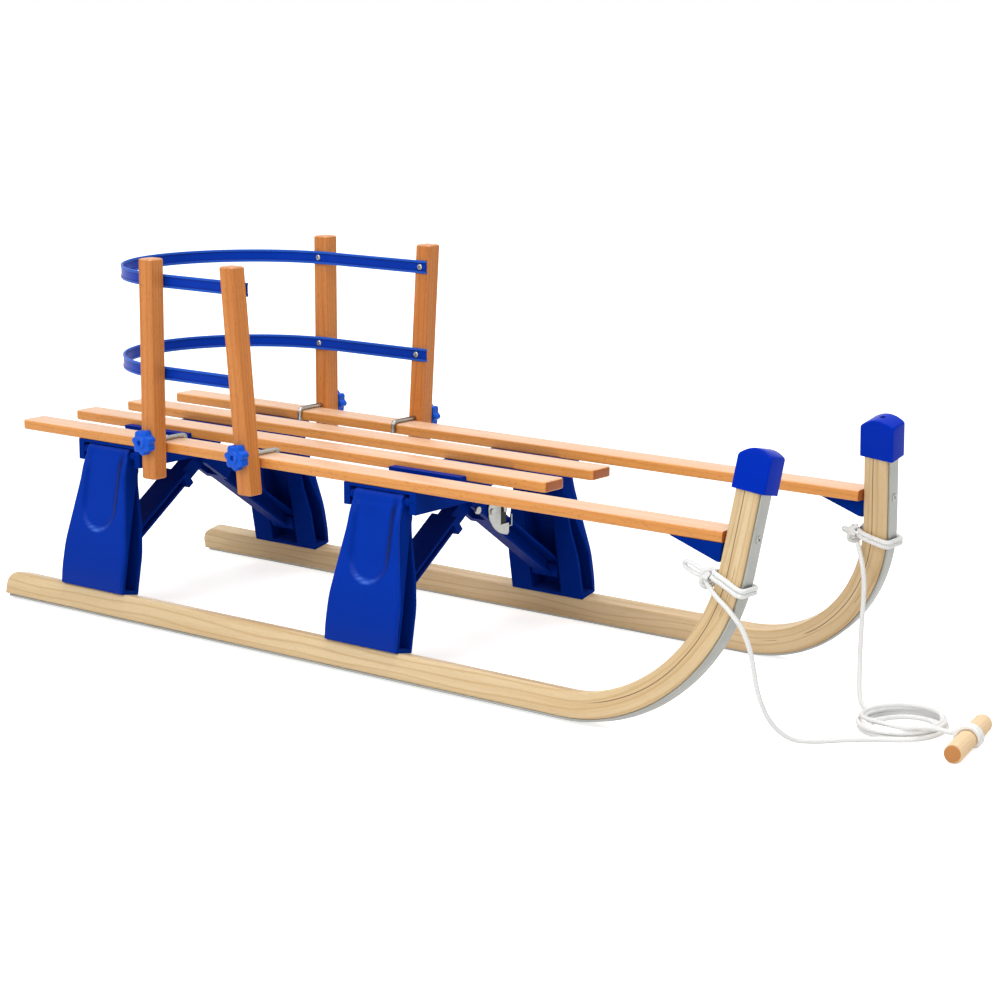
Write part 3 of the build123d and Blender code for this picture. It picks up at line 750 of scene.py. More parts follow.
@dataclass(frozen=True)
class SideFrame:
    """Plane of a runner and its legs, which leans in from the floor, and the runner's bent line."""

    tilt: float = 11.0
    foot_y: float = 161.5
    tail_x: float = -525.0
    bend_x: float = 317.0
    radius: float = 198.0
    lean: float = 5.3
    top: float = 288.0
    flat_steps: int = 14
    bend_steps: int = 48
    horn_steps: int = 6

    def at(self, side: int, x: float, a: float, h: float) -> Vector:
        """Returns a point of a side frame in metres, from x, the distance across and the height."""
        c, s = cos_sin(self.tilt)
        return metres(x, side * (self.foot_y + a * c - h * s), a * s + h * c)

    def height(self, y: float, z: float) -> float:
        """Returns the height in the frame's plane of a point of the left side."""
        c, s = cos_sin(self.tilt)
        return -(y - self.foot_y) * s + z * c

    def line(self, start: float) -> list[tuple[float, float, float, float, float]]:
        """Stations of the sliding face from the tail to the horn's top.

        Args:
            start: distance of the first station from the tail.

        Returns:
            For each station its x, its height, the inward direction and the distance from the tail.
        """
        first = self.tail_x + start
        offsets = [0, 0.5, 1.5, 3, 5, 8, 12, 16]
        rest = self.bend_x - first - 16
        offsets += [16 + rest * i / self.flat_steps for i in range(1, self.flat_steps + 1)]
        out = [(first + d, 0.0, 0.0, 1.0, start + d) for d in offsets]
        run = self.bend_x - self.tail_x
        full = math.radians(90 - self.lean)
        for i in range(1, self.bend_steps + 1):
            t = full * i / self.bend_steps
            out.append((self.bend_x + self.radius * math.sin(t), self.radius * (1 - math.cos(t)),
                        -math.sin(t), math.cos(t), run + self.radius * t))
        x, h, nx, nh, s = out[-1]
        rise = (self.top - h) / math.cos(math.radians(self.lean))
        for i in range(1, self.horn_steps + 1):
            d = rise * i / self.horn_steps
            out.append((x + d * nh, h - d * nx, nx, nh, s + d))
        return out

    def horn_x(self, h: float, depth: float) -> float:
        """Returns x of the horn's surface at a height, at a depth behind the sliding face."""
        full = math.radians(90 - self.lean)
        x = self.bend_x + (self.radius - depth) * math.sin(full)
        z = self.radius - (self.radius - depth) * math.cos(full)
        if h >= z:
            return x + (h - z) * math.tan(math.radians(self.lean))
        r = self.radius - depth
        return self.bend_x + math.sqrt(max(r * r - (self.radius - h) ** 2, 0.0))


FRAME = SideFrame()


# ---- the sled


@dataclass
class Runners:
    """The two bent runners with their steel strips and the screws that hold them."""

    width: float = 22.0
    strip: float = 3.0
    height: float = 31.0
    edge: float = 2.5
    tail_round: float = 16.0
    strip_width: float = 16.5
    strip_set: float = 4.0
    screw_h: float = 212.0
    screw_r: float = 4.2
    screw_rise: float = 1.4

    def build(self) -> None:
        """Builds the runners, strips and screws of both sides."""
        wood, steel, bolt = ASH.material(), STRIP_STEEL.material(), BOLT_STEEL.material()
        for name, side in SIDES:
            self.runner(name, side, wood)
            self.steel_strip(name, side, steel)
            self.screw(name, side, bolt)

    def runner(self, name: str, side: int, wood: Paint) -> None:
        """Lofts one runner with rounded edges and a rounded tail."""
        section = rounded(0, self.width, self.strip, self.height, self.edge)
        rings, grain = [], []
        for x, h, nx, nh, s in FRAME.line(0):
            top = self.height - shrink(s, self.tail_round)
            squeeze = (top - self.strip) / (self.height - self.strip)
            ring, run = [], []
            for a, d in section:
                d = self.strip + (d - self.strip) * squeeze
                ring.append(FRAME.at(side, x + nx * d, a, h + nh * d))
                run.append(metres(s + (0 if side > 0 else RUNNER_SHIFT / MM), a, d))
            rings.append(ring)
            grain.append(run)
        piece = loft("bent_runner_" + name, rings, wood, grain)
        settle(piece, "side_" + name, "runner_wood", "runner_" + name)

    def steel_strip(self, name: str, side: int, steel: Paint) -> None:
        """Lofts the steel strip under one runner."""
        low = (self.width - self.strip_width) / 2
        section = rounded(low, low + self.strip_width, 0, self.strip, 0.8, 3)
        rings, grain = [], []
        for x, h, nx, nh, s in FRAME.line(self.strip_set):
            rings.append([FRAME.at(side, x + nx * d, a, h + nh * d) for a, d in section])
            grain.append([metres(s + side * 900, a, d) for a, d in section])
        piece = loft("steel_strip_" + name, rings, steel, grain)
        settle(piece, "side_" + name, "strip_steel", "runner_strip_" + name)

    def screw(self, name: str, side: int, bolt: Paint) -> None:
        """Sets the screw that holds the strip's upper end, with a cross recess."""
        x = FRAME.horn_x(self.screw_h, 0)
        at = FRAME.at(side, x, self.width / 2, self.screw_h)
        fall = math.tan(math.radians(FRAME.lean))
        out = FRAME.at(side, x + 1000, self.width / 2, self.screw_h - 1000 * fall) - at
        head = screw_head("strip_screw_" + name, at, out, self.screw_r, self.screw_rise, bolt)
        settle(head, "side_" + name, "zinc_steel")


def screw_head(name: str, at: Vector, out: Vector, r: float, rise: float, finish: Paint) -> Piece:
    """Domed screw head with a cross recess.

    Args:
        name: the piece's name.
        at: middle of the face that the head sits on, in metres.
        out: the way that it faces.
        r: its radius in millimetres.
        rise: its height in millimetres.
        finish: its material.

    Returns:
        The head.
    """
    out, side, other = axes(out)
    rings = []
    for k, f in enumerate((1.0, 1.0, 0.97, 0.86, 0.70, 0.56, 0.44, 0.34, 0.24, 0.16, 0.08)):
        dome = rise * (0.35 + 0.65 * math.sqrt(max(1 - f * f, 0.0)))
        ring = []
        for c, s in circle(48):
            near, far = sorted((abs(f * c), abs(f * s)))
            t = -0.3 if k == 0 else dome
            if k > 0 and near < 0.11 and far < 0.58:
                t -= rise * 0.9
            ring.append(at + (out * t + (side * (f * c) + other * (f * s)) * r) * MM)
        rings.append(ring)
    return loft(name, rings, finish, sharp=50.0)


@dataclass
class Seat:
    """The four slats, with rounded edges and ends."""

    top: float = 216.6
    thick: float = 12.0
    width: float = 35.0
    edge: float = 2.2
    corner: float = 4.5
    horn_gap: float = 32.0
    slats: tuple = (("inner", 43.0, 203.6), ("outer", 129.0, 486.0))

    def build(self) -> None:
        """Builds the slats of both halves."""
        wood = BEECH.material()
        for name, side in SIDES:
            for tag, y, front in self.slats:
                self.slat(f"{tag}_{name}", side, y, front, tag == "outer", wood)

    def slat(self, name: str, side: int, y: float, front: float, to_horn: bool, wood: Paint) -> None:
        """Lofts one slat from its tail to its front end, which meets the horn on an outer slat."""
        rings, grain = [], []
        tail = FRAME.tail_x
        near = [0, 0.15, 0.45, 0.9, 1.5, 2.2, 3.2, 4.5, 9.0]
        stations = [tail + d for d in near]
        stations += [tail + 9 + (front - tail - 18) * i / 12 for i in range(1, 12)]
        stations += [front] if to_horn else [front - d for d in reversed(near)]
        for x in stations:
            d = min(x - tail, 99 if to_horn else front - x)
            w = self.width / 2 - shrink(d, self.corner)
            t = self.thick / 2 - shrink(d, self.edge)
            mid = self.top - self.thick / 2
            ring, run = [], []
            for u, v in rounded(-w, w, -t, t, min(self.edge, t * 0.98)):
                px = x
                if to_horn and x == front:
                    px = FRAME.horn_x(FRAME.height(y + u, mid + v), self.horn_gap)
                ring.append(metres(px, side * (y + u), mid + v))
                run.append(metres(px + side * y * 40, u + y, v + side * 9))
            rings.append(ring)
            grain.append(run)
        piece = loft("seat_slat_" + name, rings, wood, grain)
        settle(piece, "seat_left" if side > 0 else "seat_right", "seat_wood", "slat_" + name)


@dataclass
class CrossFrames:
    """The moulded legs, struts, brackets and wedges, with their pins and the latch."""

    def build(self) -> None:
        """Dresses the carried-over nodes."""
        blue = LEG_BLUE.material()
        zinc, bolt = ZINC.material(), BOLT_STEEL.material()
        for name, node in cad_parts.items():
            finish = blue
            if name.startswith("latch"):
                finish = zinc
            elif "pin" in name:
                finish = bolt
            for slot in node.material_slots:
                slot.material = finish
        LOG.info("cross-frames dressed")


@dataclass
class LegShells:
    """Curved outer shells of the four legs, each with the sunk shield of its moulding."""

    frames: tuple = (("rear", -375.0), ("front", 45.0))
    face: float = 25.3
    inside: float = 22.0
    foot_h: float = 31.2
    hub_a: float = 17.0
    hub_h: float = 192.8
    outline: tuple = ((31.0, 51.5), (80.0, 51.0), (160.0, 36.5), (205.0, 34.3))
    edge: float = 2.8
    shield_half: float = 25.5
    shield_low: float = 101.0
    shield_rise: float = 2.6
    swell: float = 1.15
    swell_top: float = 187.5
    columns: int = 48

    def build(self) -> None:
        """Builds the shells of both cross-frames."""
        blue = SHELL_BLUE.material()
        for tag, x in self.frames:
            for name, side in SIDES:
                rings, shade = self.rings(x, side)
                piece = loft(f"leg_shell_{tag}_{name}", rings, blue, shade, sharp=50.0)
                settle(piece, "side_" + name, "leg_plastic")

    def half(self, h: float) -> float:
        """Returns the leg's half-width at a height, its corners eased."""
        total = 0.0
        for shift in (-9, -6, -3, 0, 3, 6, 9):
            v = min(max(h + shift, self.outline[0][0]), self.outline[-1][0])
            for (h0, w0), (h1, w1) in zip(self.outline, self.outline[1:]):
                if h0 <= v <= h1:
                    total += w0 + (w1 - w0) * (v - h0) / (h1 - h0)
                    break
        return total / 7 - 0.15

    def off(self, x: float, h: float) -> float:
        """Returns how far a point of the face lies outside the sunk shield."""
        mid = self.shield_low + self.shield_half
        return (abs(x) if h >= mid else math.hypot(x, h - mid)) - self.shield_half

    def rise(self, x: float, h: float) -> float:
        """Returns how far the face stands out, more round the sunk shield."""
        high = self.shield_rise * ease((self.off(x, h) + 2.0) / 4.0)
        high *= 0.6 + 0.4 * clamp((h - self.foot_h) / 25)
        swell = clamp((h - self.foot_h) / 14) * clamp((self.swell_top - h) / 2.5)
        return self.swell * swell + high * (1 - 0.85 * ease((h - 168) / 20))

    def shade(self, x: float, h: float) -> Vector:
        """Returns the painted shade in the shield's groove, the painted highlight on its lip and the
        darkening near the foot.
        """
        mid = self.shield_low + self.shield_half
        off = self.off(x, h)
        level = clamp((h - mid + 26) / 34) * clamp((200 - h) / 20)
        groove_shade = math.exp(-((off - 0.6) / 3.4) ** 2) * level * (1.0 if x > 0 else 0.25)
        turn = math.degrees(math.atan2(x + 2, mid - h)) if h < mid else 180.0
        lip_highlight = math.exp(-((off - 0.2) / 1.5) ** 2) * math.exp(-(turn / 30) ** 2)
        return Vector((groove_shade, lip_highlight, clamp((120 - h) / 80)))

    def rings(self, x0: float, side: int) -> tuple[list[list[Vector]], list[list[Vector]]]:
        """Rings of the shell from the foot up and over the hub.

        Args:
            x0: the cross-frame's x.
            side: 1 for the left side and -1 for the right one.

        Returns:
            The rings, in metres, and for each point its painted groove shade, its painted lip highlight and
            its darkening near the foot.
        """
        spots = [(self.foot_h + (self.hub_h - self.foot_h) * i / 54, 0.0) for i in range(55)]
        spots += [(self.hub_h, math.radians(a)) for a in (14, 28, 42, 56, 68)]
        out, shades = [], []
        for h, roll in spots:
            c, s = math.cos(roll), math.sin(roll)
            w = self.half(h + 8 * s)
            ring, shade = [], []
            for j in range(self.columns + 1):
                x = w * math.sin(math.pi / 2 * (2 * j / self.columns - 1))
                r = self.face - self.hub_a + self.rise(x, h) - shrink(w - abs(x), self.edge)
                ring.append(FRAME.at(side, x0 + x, self.hub_a + r * c, h + r * s))
                shade.append(self.shade(x, h + r * s))
            r = self.inside - self.hub_a
            for x in (w - 2, 2 - w):
                ring.append(FRAME.at(side, x0 + x, self.hub_a + r * c, h + r * s))
            out.append(ring)
            shades.append(shade + [Vector((0.0, 0.0, 0.0))] * 2)
        return out, shades


def drill(piece: Piece, at: Vector, axis: Vector, radius: float, depth: float) -> None:
    """Sinks a round blind hole into a piece.

    Args:
        piece: the piece.
        at: middle of the hole's mouth, in metres.
        axis: the way out of the hole.
        radius, depth: its size in millimetres.
    """
    inner = piece.data.materials[0]
    cutter = turned("drill", [(radius, -depth), (radius, depth)], at, axis, inner)
    cut = piece.modifiers.new("hole", "BOOLEAN")
    cut.operation, cut.solver, cut.object = "DIFFERENCE", "EXACT", cutter
    graph = bpy.context.evaluated_depsgraph_get()
    mesh = bpy.data.meshes.new_from_object(piece.evaluated_get(graph))
    piece.modifiers.clear()
    piece.data = mesh
    mesh.set_sharp_from_angle(angle=math.radians(35))
    bpy.data.objects.remove(cutter)


@dataclass
class HornCaps:
    """Moulded caps on the horns, with an arched crown and a small hole in the top."""

    low: float = 256.0
    top: float = 300.5
    foot_tilt: float = 3.4
    wall_x: float = 4.0
    wall_a: float = 2.0
    width: float = 22.0
    height: float = 31.0
    crown: float = 7.4
    corner: float = 1.8
    reach: float = 19.5
    round: float = 1.6
    hole: float = 3.0
    hole_depth: float = 9.0

    def build(self) -> None:
        """Lofts and drills both caps."""
        blue = CAP_BLUE.material()
        a0, a1 = -self.wall_a, self.width + self.wall_a
        turns = [cos_sin(t) for t in (0, 15, 30, 45, 60, 75, 90)]
        steps = [(self.round * (1 - c), self.round * (1 - s)) for c, s in turns]
        places = [(a0 + d, inset) for d, inset in steps] + [(a1 - d, inset) for d, inset in reversed(steps)]
        for name, side in SIDES:
            rings = [[FRAME.at(side, x, a, h) for x, h in self.profile(inset)] for a, inset in places]
            piece = loft("domed_cap_" + name, rings, blue, sharp=40.0)
            x = (FRAME.horn_x(self.top, self.height) + FRAME.horn_x(self.top, 0)) / 2
            at = FRAME.at(side, x, self.width / 2, self.top)
            out = FRAME.at(side, x, self.width / 2, self.top + 100) - at
            drill(piece, at, out, self.hole, self.hole_depth)
            settle(piece, "side_" + name, "cap_plastic", "horn_cap_" + name)

    def profile(self, inset: float) -> list[tuple[float, float]]:
        """Returns the cap's outline in x and height, drawn in by the inset but for its foot."""
        shoulder = self.top - self.crown
        straight = shoulder - self.corner
        levels = (0.0, 0.05, 0.35, 0.7, 1.0)
        share = self.corner / self.reach
        out = [self.wall(self.low + (straight - self.low) * f, 1, inset) for f in levels]
        for i in range(1, 40):
            u = math.cos(math.pi * i / 40)
            over = max((abs(u) - 1 + share) / share, 0.0)
            h = shoulder + self.crown * (1 - u * u)
            h -= self.corner * (1 - math.sqrt(max(1 - over * over, 0.0)))
            out.append(self.wall(h - inset, u, inset))
        foot = self.low + self.foot_tilt
        return out + [self.wall(foot + (straight - foot) * f, -1, inset) for f in reversed(levels)]

    def wall(self, h: float, u: float, inset: float) -> tuple[float, float]:
        """Returns a point at a height, u running from -1 at the cap's back to 1 at its front."""
        front, back = FRAME.horn_x(h, 0), FRAME.horn_x(h, self.height)
        return (front + back) / 2 + ((front - back) / 2 + self.wall_x - inset) * u, h


@dataclass
class LatchBlock:
    """Black block behind the latch plate's window."""

    x0: float = 62.6
    x1: float = 64.0
    y0: float = 38.5
    y1: float = 52.0
    z0: float = 134.0
    z1: float = 163.0

    def build(self) -> None:
        """Lofts the block."""
        rings = []
        for x, inset in ((self.x0, 0.3), (self.x0 + 0.3, 0.0), (self.x1 - 0.4, 0.0), (self.x1, 0.4)):
            outline = rounded(self.y0 + inset, self.y1 - inset, self.z0 + inset, self.z1 - inset, 2.0)
            rings.append([metres(x, y, z) for y, z in outline])
        settle(loft("latch_block", rings, BLACK.material()), "struts_left", "leg_plastic")


@dataclass
class Backrest:
    """The removable backrest: four posts, two straps, hooked bolts and star knobs."""

    post_in: float = 148.3
    post_x: float = 20.6
    post_y: float = 21.4
    low: float = 175.5
    high: float = 429.5
    bevel: float = 1.8
    end: float = 1.5
    screw_r: float = 3.6
    screw_rise: float = 1.8
    knob_r: float = 11.6
    lobes: int = 7
    lobe: float = 3.4
    bolt_z: float = 219.6
    bolt_r: float = 2.7
    hook_y: float = 108.5
    band_t: float = 2.5
    band_w: float = 15.5
    back_x: float = -286.0
    rim: float = 2.6
    sink: float = 0.7
    bands: tuple = (("lower", 289.5), ("upper", 395.5))
    band_ends: tuple = ((-1, -145.0), (1, -133.0))
    posts: tuple = (("rear_right", -1, -286.0, 0.5), ("front_right", -1, -139.0, -5.0),
                    ("rear_left", 1, -305.0, 0.0), ("front_left", 1, -153.0, 3.5))

    def build(self) -> None:
        """Builds the backrest's pieces."""
        wood, strap, knob = OILED.material(), BAND_BLUE.material(), KNOB_BLUE.material()
        bolt = BOLT_STEEL.material()
        for name, side, x, tilt in self.posts:
            self.post(name, side, x, tilt, wood)
            self.knob(name, side, x, knob)
            self.hook(name, side, x, bolt)
            for tag, z in self.bands:
                mid = z + self.band_w / 2
                lean = (mid - self.bolt_z) * math.tan(math.radians(tilt))
                at = metres(x + lean, side * (self.post_in - self.band_t), mid)
                head = screw_head(f"strap_screw_{tag}_{name}", at, Vector((0, -side, 0)), self.screw_r,
                                  self.screw_rise, bolt)
                settle(head, "backrest", "zinc_steel")
        for tag, z in self.bands:
            self.strap(tag, z, strap)

    def post(self, name: str, side: int, x: float, tilt: float, wood: Paint) -> None:
        """Lofts one post with bevelled long edges and ends."""
        t = math.tan(math.radians(tilt))
        c = math.cos(math.radians(tilt))
        rings, grain = [], []
        y0 = self.post_in + self.post_y / 2
        e = self.end
        for z, inset in ((self.low, e), (self.low + e, 0), (self.high - e, 0), (self.high, e)):
            u, v, b = self.post_x / 2 - inset, self.post_y / 2 - inset, self.bevel
            corner = []
            for su, sv in ((1, 1), (-1, 1), (-1, -1), (1, -1)):
                pair = [(su * u, sv * (v - b)), (su * (u - b), sv * v)]
                corner += pair if su * sv > 0 else pair[::-1]
            ring, run = [], []
            for du, dv in corner:
                rise = z - self.bolt_z
                ring.append(metres(x + du * c + rise * t, side * (y0 + dv), z))
                run.append(metres(z + x * 3 + side * 500, du, dv))
            rings.append(ring)
            grain.append(run)
        piece = loft("backrest_post_" + name, rings, wood, grain, sharp=20.0)
        settle(piece, "backrest", "post_wood", "post_" + name)

    def strap(self, tag: str, z: float, strap: Paint) -> None:
        """Lofts one strap round the back, with a raised rim along both edges."""
        w, t = self.band_w, self.band_t
        rim, sink, c = self.rim, self.sink, 0.4
        section = [(0, c), (c, 0), (t - c, 0), (t, c), (t, rim), (t - sink, rim + sink),
                   (t - sink, w - rim - sink), (t, w - rim), (t, w - c), (t - c, w), (c, w), (0, w - c),
                   (0, w - rim), (sink, w - rim - sink), (sink, rim + sink), (0, rim)]
        arms = [[(self.back_x + (end - self.back_x) * i / 6, side, 0.0) for i in range(7)]
                for side, end in self.band_ends]
        bend = [(self.back_x, -math.cos(math.pi * i / 64), -math.sin(math.pi * i / 64)) for i in range(1, 64)]
        rings, grain = [], []
        for i, (x, ny, nx) in enumerate(arms[0][::-1] + bend + arms[1]):
            reach = [(self.post_in - t + d, h) for d, h in section]
            rings.append([metres(x + nx * r, ny * r, z + h) for r, h in reach])
            grain.append([metres(i * 8, h - w / 2, d) for d, h in section])
        piece = loft("strap_" + tag, rings, strap, grain, sharp=28.0)
        settle(piece, "backrest", "band_plastic", "band_" + tag)

    def knob(self, name: str, side: int, x: float, finish: Paint) -> None:
        """Turns one seven-lobed knob with a boss and a hole."""
        r = self.knob_r
        profile = [(r, 0.0, 0.75), (r, 0.7, 0.95), (r, 2.0, 1.0), (r, 8.8, 1.0), (r, 10.2, 0.9),
                   (r - 0.9, 11.0, 0.7), (r - 2.6, 11.1, 0.25), (7.9, 11.2), (7.5, 11.6), (7.2, 12.8),
                   (6.5, 13.6), (3.7, 13.6), (3.2, 13.2), (3.1, 10.0)]
        at = metres(x, side * (self.post_in + self.post_y), self.bolt_z)
        piece = turned("clamp_knob_" + name, profile, at, Vector((0, side, 0)), finish, self.lobes, self.lobe)
        settle(piece, "backrest", "knob_plastic", "star_knob_" + name)

    def hook(self, name: str, side: int, x: float, bolt: Paint) -> None:
        """Bends one hooked bolt over the outer slat's inner edge."""
        y, z = self.hook_y, self.bolt_z
        tip = self.post_in + self.post_y + 9
        line = ((y, 206), (y, 212), (y + 0.3, z - 0.6), (y + 8, z), (y + 20, z), (tip, z))
        points = [(x, side * b, c) for b, c in line]
        piece = bent_rod("hooked_bolt_" + name, [points], self.bolt_r, bolt)
        settle(piece, "backrest", "zinc_steel", "hook_bolt_" + name)


@dataclass
class TowRope:
    """White braided tow rope with its knots, the loose coil and the wooden handle."""

    radius: float = 2.5
    handle_r: float = 10.0
    handle_l: float = 116.0
    handle_at: tuple = (682.5, 0.5)
    handle_turn: float = 13.5
    coil_at: tuple = (597.0, 20.0)
    right: tuple = ((468, -149.5, 166), (484, -157.5, 155), (503, -160.5, 144), (518, -156, 125),
                    (525, -150, 97), (526, -142, 60), (531, -125, 26), (542, -104, 6), (556, -84, 2.7),
                    (572, -64, 2.7), (588, -48, 2.7))
    left: tuple = ((477, 128, 157), (487, 123.5, 136), (493, 118, 110), (497, 108, 82), (503, 96, 52),
                   (511, 82, 26), (521, 66, 8), (535, 50, 4), (549, 38, 5))
    to_handle: tuple = ((618, -22, 14.0), (634, -8, 14.2), (648, 3, 13.0), (659, 3, 11.0))
    # the left run's end in the coil
    inner: tuple = ((560, 24, 3.5), (563, 4, 2.7), (574, -11, 2.7), (590, -18, 2.7), (608, -17, 2.7),
                    (622, -5, 2.7), (629, 12, 2.7), (629, 32, 2.7), (621, 48, 2.7), (606, 56, 2.7),
                    (589, 54, 2.7), (575, 42, 2.7), (569, 26, 2.7), (571, 8, 4.0))
    # turns of the coil: reach in x and y, shift in x and y, height at the turn's start
    turns: tuple = ((46.5, 54.5, 0.0, 0.0, 2.7), (41.0, 48.5, 0.5, 0.5, 3.0), (44.5, 51.0, -0.5, 1.5, 8.0),
                    (38.5, 45.5, 2.0, -1.0, 9.5), (42.0, 49.0, 0.0, 1.0, 13.2))

    def build(self) -> None:
        """Builds the rope's pieces, first its two runs."""
        knots = [self.knot(name, side) for name, side in SIDES]
        handle = self.handle()
        tie = self.tie()
        points = [*self.right, *self.coil(-80, 3.9), *self.to_handle, *self.over_handle()]
        length = 1.525
        braid = BraidedCord("white braid, long run", length).material()
        run = bent_rod("tow_rope_right", [points], self.radius, braid)
        settle(run, "side_right", "rope", "rope_strand_right", "rope_coil", "rope_handle_loop")
        length = 0.464
        braid = BraidedCord("white braid, short run", length).material()
        run = bent_rod("tow_rope_left", [[*self.left, *self.inner]], self.radius, braid)
        settle(run, "side_left", "rope", "rope_strand_left")

    def coil(self, start: float, count: float) -> list[Point]:
        """Loose turns of the coil, twelve points to each.

        Args:
            start: angle of the first point in degrees.
            count: how many turns.

        Returns:
            Their points in millimetres.
        """
        out = []
        for i in range(int(count * 12) + 1):
            k, f = divmod(i / 12, 1)
            a, b = self.turns[int(k)], self.turns[min(int(k) + 1, len(self.turns) - 1)]
            rx, ry, sx, sy, z = (p + (q - p) * f for p, q in zip(a, b))
            t = math.radians(start + 30 * i)
            out.append((self.coil_at[0] + sx + rx * math.cos(t), self.coil_at[1] + sy + ry * math.sin(t), z))
        return out

    def around(self, angle: float, shift: float, r: float) -> Point:
        """Returns a point round the handle's axis, by its angle from the front and its shift along."""
        c, s = cos_sin(self.handle_turn)
        out, up = (r * part for part in cos_sin(angle))
        return (self.handle_at[0] + s * shift + c * out, self.handle_at[1] - c * shift + s * out,
                self.handle_r + up)

    def over_handle(self) -> list[Point]:
        """Points of the rope over the handle, down to the hole that takes its end."""
        spots = ((165, 0.0, 14.5), (130, 0.0, 13.6), (95, 0.2, 13.4), (62, 0.3, 13.4), (36, 0.4, 13.3),
                 (12, 0.5, 12.8), (-9, 0.5, 11.7), (-28, 0.5, 9.9), (-46, 0.5, 7.6), (-62, 0.5, 5.4))
        return [self.around(a, s, r) for a, s, r in spots]

    def handle(self) -> Piece:
        """Turns the bare wooden handle, its grain along its axis."""
        half, r = self.handle_l / 2, self.handle_r
        c, s = cos_sin(self.handle_turn)
        axis, side, other = axes(Vector((s, -c, 0)))
        middle = metres(*self.handle_at, r)
        profile = [(0.4, -half), (r - 2.2, -half), (r - 0.9, -half + 0.5), (r - 0.2, -half + 1.4),
                   (r, -half + 2.6)]
        waves = [(0.12 * math.sin(i * 1.3) ** 2, (2 * half - 5.2) * i / 14) for i in range(1, 14)]
        profile += [(r - dip, -half + 2.6 + along) for dip, along in waves]
        profile += [(a, -b) for a, b in reversed(profile[:5])]
        rings, grain = [], []
        for radius, t in profile:
            round_it = [(radius * c, radius * s) for c, s in circle(40)]
            rings.append([middle + (axis * t + side * c + other * s) * MM for c, s in round_it])
            grain.append([metres(t, c, s) for c, s in round_it])
        piece = loft("pull_handle", rings, BARE.material(), grain)
        return settle(piece, "side_right", "handle_wood", "tow_handle")

    def tie(self) -> Piece:
        """Small knot of the rope beside its loop on the handle."""
        rings = []
        for shift, r in ((-3.6, 13.2), (4.8, 13.0)):
            over = [(a, r) for a in range(180, -15, -30)]
            spots = [(216, 8.0), (204, 11.6), *over, (-26, 11.8), (-42, 8.0)]
            rings.append([self.around(a, shift, q) for a, q in spots])
        finish = BraidedCord("white braid, handle", 0.05).material()
        piece = bent_rod("handle_tie", rings, self.radius * 0.94, finish)
        return settle(piece, "side_right", "rope")

    def knot(self, name: str, side: int) -> Piece:
        """Ties a double turn round a horn, with a bow loop behind it.

        Args:
            name: the side's name.
            side: 1 for the left horn and -1 for the right one.

        Returns:
            The knot.
        """
        runs = []
        for lift, out in ((0.0, 0.0), (-5.0, 0.2)):
            back, edge, front = 175.0 + lift, 160.5 + lift, 164.5 + lift
            xb, xf = FRAME.horn_x(back, 31) - 3.0 - out, FRAME.horn_x(edge, 0) + 3.0 + out
            a1 = 25.6 + out
            runs.append([(xb - 1, 6, back - 1), (xb - 1.6, 14, back), (xb - 1.4, 22, back + 0.5),
                         (xb + 3, 26.2 + out, back - 1.5), (xb + 16, a1, (back + edge) / 2 + 0.5),
                         (xf - 5, a1 + 0.3, edge + 1), (xf + 0.8, 24.5, edge), (xf + 1.4, 16, edge + 1.5),
                         (xf + 1.2, 6, front - 0.5), (xf + 0.6, -1.5, front), (xf - 5, -4.0 - out, front + 1),
                         (xb + 16, -3.4 - out, front + 4), (xb + 3, -4.0 - out, back - 2),
                         (xb - 1, 0, back - 1.5)])
        bow = [(476, 22, 178), (468, 24, 182), (458, 25.5, 186.5), (450, 26, 188.5), (446, 25.5, 187),
               (447, 24.5, 183), (455, 24, 179), (465, 24, 176.5), (475, 23, 175)]
        wrap = [(478, 20, 184), (472, 24, 184), (467, 25, 179), (468, 22, 173), (474, 18, 171),
                (478, 16, 175), (476, 18, 181), (471, 22, 184)]
        down = [(475, 22, 181), (468, 24, 176), (466, 23, 169), (470, 19, 165), (476, 15, 168),
                (478, 14, 174)]
        if side > 0:
            bow = [(476 + (x - 476) * 0.45, a, 177 + (h - 177) * 0.45) for x, a, h in bow]
        # both knots lie on the side that faces the sled's right
        for line in (bow, wrap, down):
            runs.append([(x - 1.2, a if side < 0 else 22 - a, h - 7) for x, a, h in line])
        placed = [[tuple(FRAME.at(side, *p) / MM) for p in line] for line in runs]
        finish = BraidedCord("white braid, knot", 0.12).material()
        piece = bent_rod("horn_knot_" + name, placed, self.radius, finish)
        return settle(piece, "side_" + name, "rope", "rope_knot_" + name)


# ---- camera, floor and light


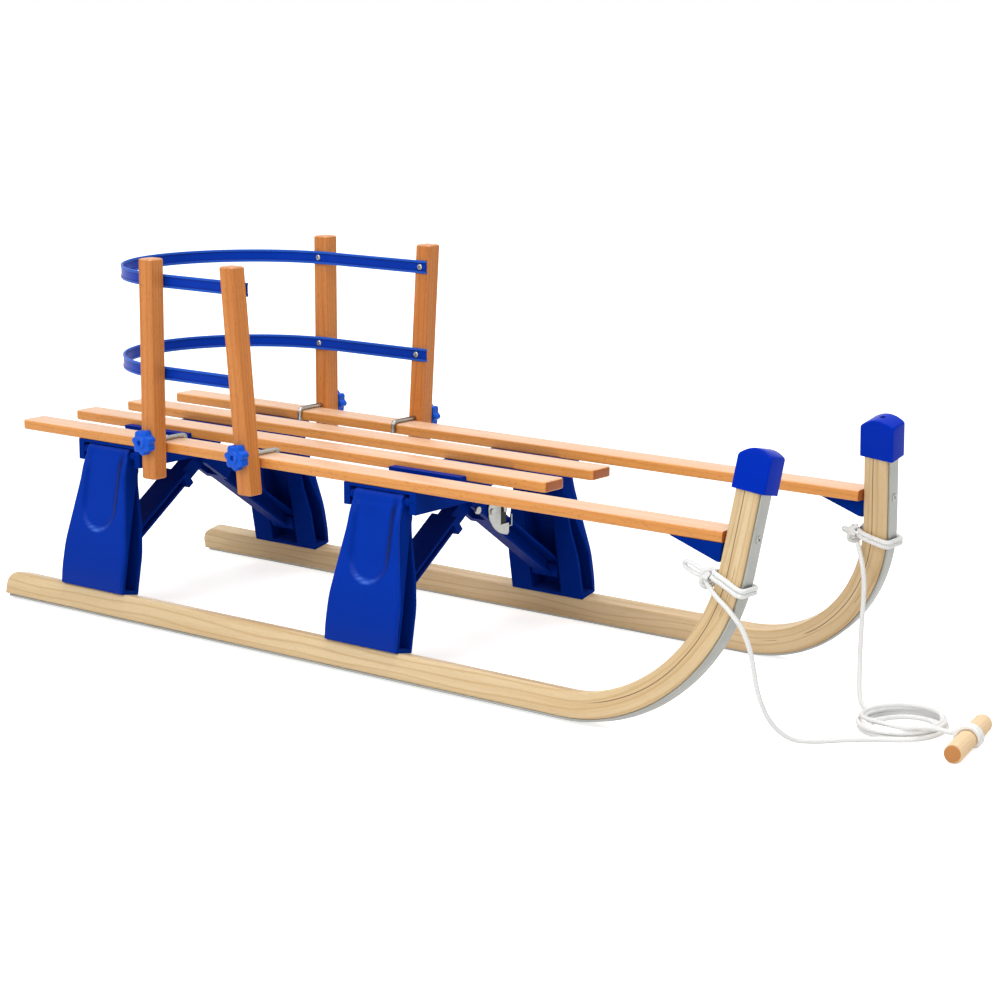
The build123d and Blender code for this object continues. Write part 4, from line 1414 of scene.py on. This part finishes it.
@dataclass
class Studio:
    """Camera at the photograph's viewing angle, a pale floor and soft lamps."""

    eye: tuple = (1.8129, -2.1872, 0.7476)
    turn: float = 38.165
    down: float = 11.639
    roll: float = 0.173
    lens: float = 92.18
    around: float = 0.24
    sensor: float = 36.0
    aim: tuple = (0.05, 0, 0.15)

    def build(self) -> None:
        """Sets up the camera, the world, the floor and the lamps."""
        self.camera()
        self.world()
        self.floor()
        self.lamp("key", (-0.6, -3.6, 2.8), 3.0, 96.0)
        self.lamp("top", (0.3, 0.3, 4.0), 3.0, 118.0)
        self.lamp("front", (3.4, -1.4, 2.2), 2.4, 36.0)
        bpy.context.scene.view_settings.view_transform = "Standard"

    def camera(self) -> None:
        """Places the camera."""
        (ca, sa), (ce, se), (cq, sq) = (cos_sin(v) for v in (self.turn, self.down, self.roll))
        ahead = Vector((-sa * ce, ca * ce, -se))
        right = Vector((ca, sa, 0))
        up = right.cross(ahead)
        x = right * cq + up * sq
        y = up * cq - right * sq
        data = bpy.data.cameras.new("camera")
        data.lens, data.sensor_width = self.lens, self.sensor
        cam = show("camera", data)
        cam.matrix_world = Matrix.Translation(self.eye) @ Matrix((x, y, -ahead)).transposed().to_4x4()
        bpy.context.scene.camera = cam

    def world(self) -> None:
        """Makes the surroundings white where they are seen and a plain soft light elsewhere."""
        world = bpy.data.worlds.new("pale room")
        world.use_nodes = True
        bpy.context.scene.world = world
        g = Graph(world.node_tree)
        path = g.put("LightPath").node
        seen = g.calc("MAXIMUM", path.outputs["Is Camera Ray"], path.outputs["Is Glossy Ray"])
        seen = g.calc("MAXIMUM", seen, path.outputs["Is Transmission Ray"])
        back = world.node_tree.nodes["Background"]
        back.inputs["Color"].default_value = (1, 1, 1, 1)
        g.feed(back.inputs["Strength"], g.put("MapRange", {0: seen, 3: self.around, 4: 1.0}))

    def floor(self) -> None:
        """Lays the floor, which is white in the open and keeps the object's shadow."""
        made, g, shader = new_material("pale floor")
        path = g.put("LightPath").node
        seen = g.calc("MAXIMUM", path.outputs["Is Camera Ray"], path.outputs["Is Glossy Ray"])
        where = g.put("NewGeometry", out="Position")
        away = g.put("VectorMath", {0: where}, out="Value", operation="LENGTH")
        g.fill(shader, {"Base Color": (0.80, 0.80, 0.80, 1), "Roughness": 1.0, "Specular IOR Level": 0.0,
                        "Emission Color": (1, 1, 1, 1),
                        "Emission Strength": g.times(seen, g.span(away, 0.9, 3.4, 0.66, 1.05))})
        bm = bmesh.new()
        bmesh.ops.create_grid(bm, x_segments=1, y_segments=1, size=30)
        floor = finish_mesh("floor", bm, made)

    def lamp(self, name: str, at: Point, size: float, watts: float) -> None:
        """Hangs a square soft lamp that faces the sled."""
        data = bpy.data.lights.new(name, "AREA")
        data.shape, data.size, data.energy = "SQUARE", size, watts
        lamp = show(name, data)
        lamp.location = at
        lamp.rotation_euler = (Vector(self.aim) - Vector(at)).to_track_quat("-Z", "Y").to_euler()


def main() -> None:
    """Builds the sled piece by piece."""
    logging.basicConfig(level=logging.INFO, format="%(message)s")
    Studio().build()
    TowRope().build()
    CrossFrames().build()
    Runners().build()
    LegShells().build()
    HornCaps().build()
    LatchBlock().build()
    Seat().build()
    Backrest().build()


if __name__ == "__main__":
    main()
